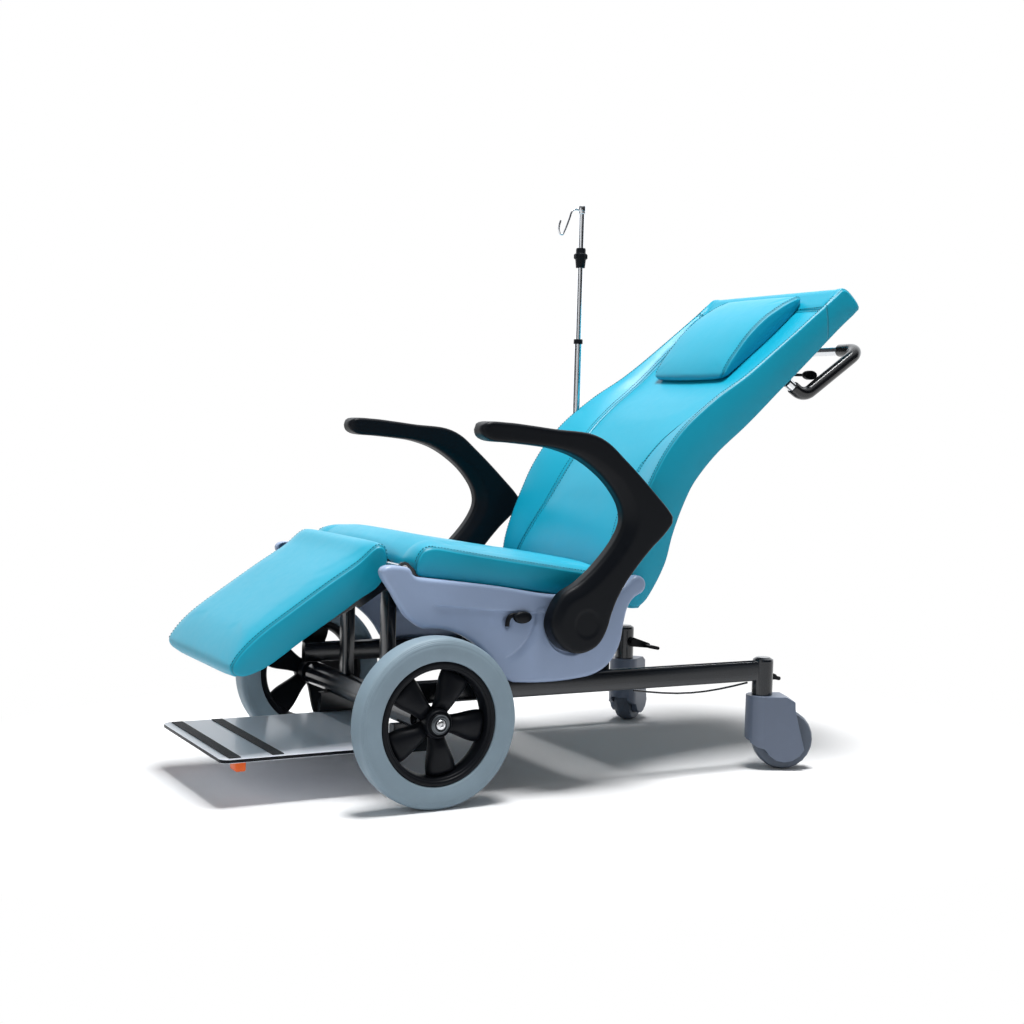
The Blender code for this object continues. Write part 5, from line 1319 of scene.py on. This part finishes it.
def tube(name, path, radius, finish, sides):
    """A tube of round section along a path, with closed ends. Its rings turn as little as possible from one to the
    next. radius is one number, or one for each point."""
    path = [Vector(spot) for spot in path]
    radii = radius if isinstance(radius, (list, tuple)) else [radius] * len(path)
    runs = [(after - before).normalized() for before, after in zip([path[0], *path], [*path[1:], path[-1]])]
    side = runs[0].orthogonal().normalized()
    points = []
    for spot, run, size in zip(path, runs, radii):
        side = (side - run * side.dot(run)).normalized()
        other = run.cross(side)
        for turn in np.linspace(0, 2 * math.pi, sides, endpoint=False):
            points.append(spot + (side * math.cos(turn) + other * math.sin(turn)) * size)
    faces = grid_faces(len(path), sides, 0, True)
    faces.extend((range(sides), range(len(points) - sides, len(points))))
    return skin(name, points, faces, finish, 50.0, 0.0)


def one_piece(name, *parts):
    """Joins parts that move together into one object."""
    mesh = bpy.data.meshes.new(name)
    work = bmesh.new()
    materials = []
    for part in parts:
        start = len(work.faces)
        work.from_mesh(part.data)
        work.faces.ensure_lookup_table()
        material = part.data.materials[0]
        if material not in materials:
            materials.append(material)
        for face in work.faces[start:]:
            face.material_index = materials.index(material)
    work.to_mesh(mesh)
    work.free()
    for material in materials:
        mesh.materials.append(material)
    for part in parts:
        bpy.data.objects.remove(part)
    return link(name, mesh)


# Profiles of (radius, along), in millimetres

TYRE_SIDE = (
    (114, 20.8), (114.6, 22.6), (116.2, 23.8), (119, 24.7), (124, 26.2), (130, 27.3), (136, 27.9), (140, 28),
    (142.5, 27.7), (144, 27), (145.5, 27), (147.5, 27), (148.2, 26.2), (149, 26.2), (150, 25.8), (150.6, 24.7),
    (151.4, 24.7), (152.4, 24.2), (152.9, 22.9), (153.7, 22.7), (154.6, 21.8), (155, 20.4), (155.6, 19.8),
    (156.4, 18.2), (156.9, 16), (157.2, 12.5), (157.5, 8),
)
RIM_SIDE = (
    (113.7, -22), (113.7, 19.5), (113, 22.2), (111.6, 23.1), (108.8, 23.2), (106, 23), (104.6, 22.2), (104, 20.6),
    (103, 19.6), (100.8, 19.2), (99.6, 18), (98.5, 12), (97.2, 4), (96.5, -4), (98.5, -14), (103.5, -22.2),
    (106, -23),
)
HUB_SIDE = (
    (6.7, -26), (23.5, -26), (26.2, -18), (27, -6), (27, 12), (26.2, 18), (24.5, 21.2), (23.2, 21.8), (22.2, 21.2),
    (21.6, 19.6), (20.6, 19.2), (19.6, 19.7), (18.6, 22.2), (17.2, 23.2), (15, 23.6), (6.7, 23.6),
)
HUB_RING = (
    (11.2, 24), (18, 24), (18.2, 25.8), (17, 26.8), (15.8, 26.2), (15, 26.6), (13.6, 27.4), (12, 27.2), (11.2, 26.6),
)
AXLE_NUT = (
    (6, -40), (6, 24), (9.8, 24), (9.8, 26.2), (8.8, 28.6), (6.6, 30), (4, 30.2), (3.4, 29.6), (3, 27), (0, 27),
)
SPACER = ((6, -50.5), (12, -50.5), (12, -26.8), (6, -26.8))
POLE_TUBE = ((7, 218), (9.25, 218), (9.25, 889.5), (7, 889.5))
POLE_CUFF = ((7, 888), (9.4, 888), (10.4, 889), (10.4, 897.5), (9.6, 899), (7, 899))
POLE_ROD = (
    (0, 700), (6.4, 700), (6.4, 1184), (7.8, 1184.5), (9, 1185.2), (9.2, 1186.5), (9.2, 1189), (8.6, 1189.6),
    (8.6, 1191), (9.2, 1191.6), (9.2, 1201), (8.4, 1202.5), (6, 1203), (0, 1203),
)
COLLAR = (
    (6.8, 1062), (9.6, 1062), (10.4, 1063), (12.2, 1080), (12.4, 1081.2), (14.6, 1082.4), (15, 1084), (15, 1091.5),
    (14.4, 1093.5), (11.8, 1095), (11.2, 1096.5), (11.2, 1104), (10, 1107), (6.8, 1107.5),
)
COLLAR_RIB = ((0, 1082.6), (1.2, 1083.2), (1.6, 1084.5), (1.6, 1091), (1.2, 1092.5), (0, 1093))

WHEEL_RADIUS = 0.1575
WHEEL_X = 0.313
SPOKE_SPAN = (0.018, 0.0975)
SPOKE_SHOULDER = 0.084
SPOKE_TURN = {1: math.radians(-8), -1: math.radians(9)}


def make_spoke(turn, sign):
    """One scoop-shaped spoke: a convex outer face that widens outwards and ends in a round shoulder."""
    shoulder = (*mm(86.5, 89, 91.2, 93, 94.4, 95.5, 96.5), SPOKE_SPAN[1])
    along = np.concatenate([np.linspace(SPOKE_SPAN[0], SPOKE_SHOULDER, 13), shoulder])
    across = np.sin(np.linspace(-math.pi / 2, math.pi / 2, 17))
    points = []
    for r in along:
        half = 0.0165 + 0.0135 * float(smoothstep(r, 0.024, 0.088))
        end = math.sqrt(max(0.0, 1 - max(0.0, (r - SPOKE_SHOULDER) / 0.0135) ** 2))
        crest = 0.0035 + 0.0135 * float(smoothstep(r, 0.016, 0.045)) - 0.0035 * float(smoothstep(r, 0.05, 0.09))
        for share in across:
            height = -0.004 + (crest + 0.004) * (1 - abs(share) ** 2.6) ** 0.62 * (0.25 + 0.75 * end)
            points.append((height, share * half, r))
        points.extend((-0.0080, share * half * 0.94, r) for share in across[::-1])
    count = 2 * len(across)
    faces = grid_faces(len(along), count, 0, True)
    faces.extend((range(count), range(len(points) - count, len(points))))
    placed = []
    for out, side, r in points:
        y = math.cos(turn) * r - math.sin(turn) * side
        z = math.sin(turn) * r + math.cos(turn) * side
        placed.append(chair(sign * (WHEEL_X + out), y, WHEEL_RADIUS + z))
    return skin("spoke", placed, faces, "wheel", 60.0)


def make_wheel(sign, side):
    centre = chair(sign * WHEEL_X, 0, WHEEL_RADIUS)

    def part(name, profile, finish, sides, smooth=50.0, closed=True):
        return turned(name, [(r, sign * x) for r, x in profile], centre, finish, 0, sides, smooth, closed)

    tyre = part("tyre_piece_" + side, [*TYRE_SIDE, *[(r, -x) for r, x in reversed(TYRE_SIDE)]], "tyre", 168)
    stand_for(tyre, "tyre_" + side)
    spokes = [make_spoke(SPOKE_TURN[sign] + i * math.tau / 5, sign) for i in range(5)]
    parts = (part("rim", RIM_SIDE, "wheel", 144), part("hub", HUB_SIDE, "wheel", 64), *spokes)
    stand_for(one_piece("wheel_" + side, *parts), "rim_" + side)
    stand_for(part("hub_ring_" + side, HUB_RING, "dark_steel", 64), "hub_cap_" + side)
    parts = (part("pin", AXLE_NUT, "steel", 40, 40.0, False), part("spacer", SPACER, "steel", 40, 40.0))
    stand_for(one_piece("axle_nut_" + side, *parts), "axle_pin_" + side)


PUSH_LINE = ((0.8570, 0.8045), (0.902, 0.776), (1.055, 0.882))
PUSH_X = 0.2135
PUSH_RADIUS = 0.011
PUSH_BEND = 0.034
GRIP_SPAN = (0.55, 0.20)  # shares of the first and last straight lengths
GRIP_RADIUS = 0.0140
GRIP_END = ((0.0, 0.0118), (0.0006, 0.0130), (0.0016, 0.0137), (0.003, 0.0140))  # along, radius


def push_route(sign):
    """The push bar's path on one side, up to the middle."""
    corners = [chair(sign * PUSH_X, *spot) for spot in PUSH_LINE]
    return rounded_path([*corners, chair(0, *PUSH_LINE[-1])], PUSH_BEND, 12)


def make_push_bar():
    bar = tube("push_tube", [*push_route(1), *push_route(-1)[::-1][1:]], PUSH_RADIUS, "chrome", 28)
    stand_for(bar, "push_bar")
    for side, sign in SIDES:
        path = push_route(sign)
        start, end = path[0].lerp(path[1], GRIP_SPAN[0]), path[-2].lerp(path[-1], GRIP_SPAN[1])
        run = (path[1] - start).normalized()
        first = [start + run * step for step, _ in GRIP_END]
        run = (end - path[-2]).normalized()
        last = [end - run * step for step, _ in reversed(GRIP_END)]
        ends = [radius for _, radius in GRIP_END]
        radii = [*ends, *[GRIP_RADIUS] * (len(path) - 2), *ends[::-1]]
        stand_for(tube("hand_grip_" + side, [*first, *path[1:-1], *last], radii, "grip", 28), "grip_" + side)


POLE_PLACE = (-0.264, 0.628)
HOOK_LINE = mm(
    (6, 1193.5), (18, 1194), (26.5, 1189), (33, 1172), (44.5, 1144), (50, 1135), (56, 1135), (60, 1144), (59, 1156),
    (56, 1165.5),
)
HOOK_RADIUS = 0.0026
RIB_RING = 0.0146


def make_pole():
    foot = chair(*POLE_PLACE, 0)

    def part(name, profile, finish, closed=True, centre=foot, sides=48):
        return turned(name, profile, centre, finish, axis=2, sides=sides, closed=closed)

    stand_for(one_piece("pole_tube", part("tube", POLE_TUBE, "chrome"), part("cuff", POLE_CUFF, "black")), "iv_tube")
    line = smooth_line([(POLE_PLACE[1] - back, z) for back, z in HOOK_LINE], 46)
    hook = tube("hook", [chair(POLE_PLACE[0], *spot) for spot in line], HOOK_RADIUS, "chrome", 14)
    stand_for(one_piece("pole_rod", part("rod", POLE_ROD, "chrome", False), hook), "iv_rod")
    ribs = []
    for turn in np.linspace(0, math.tau, 10, endpoint=False):
        spot = (foot[0] + RIB_RING * math.cos(turn), foot[1] + RIB_RING * math.sin(turn), 0)
        ribs.append(part("rib", COLLAR_RIB, "black", False, spot, 10))
    stand_for(one_piece("pole_collar", part("collar", COLLAR, "black"), *ribs), "iv_collar")


def edge_plate():
    """The footplate's own solid with softened edges; its rim takes the dark edging."""
    plate = merged_copy("footplate", "footplate_piece")
    soften(plate, 0.0012, 3)
    keep_result(plate)
    plate.data.materials.clear()
    for finish in ("plate", "black"):
        plate.data.materials.append(finishes[finish])
    for face in plate.data.polygons:
        face.material_index = 1 if abs(face.normal.z) < 0.5 else 0
    stand_for(plate, "footplate")


for side, sign in SIDES:
    make_arm(sign, side)
    make_shell(sign, side)
    make_side_lever(sign, side)
for side, sign in SIDES:
    make_wheel(sign, side)
make_push_bar()
make_pole()
edge_plate()


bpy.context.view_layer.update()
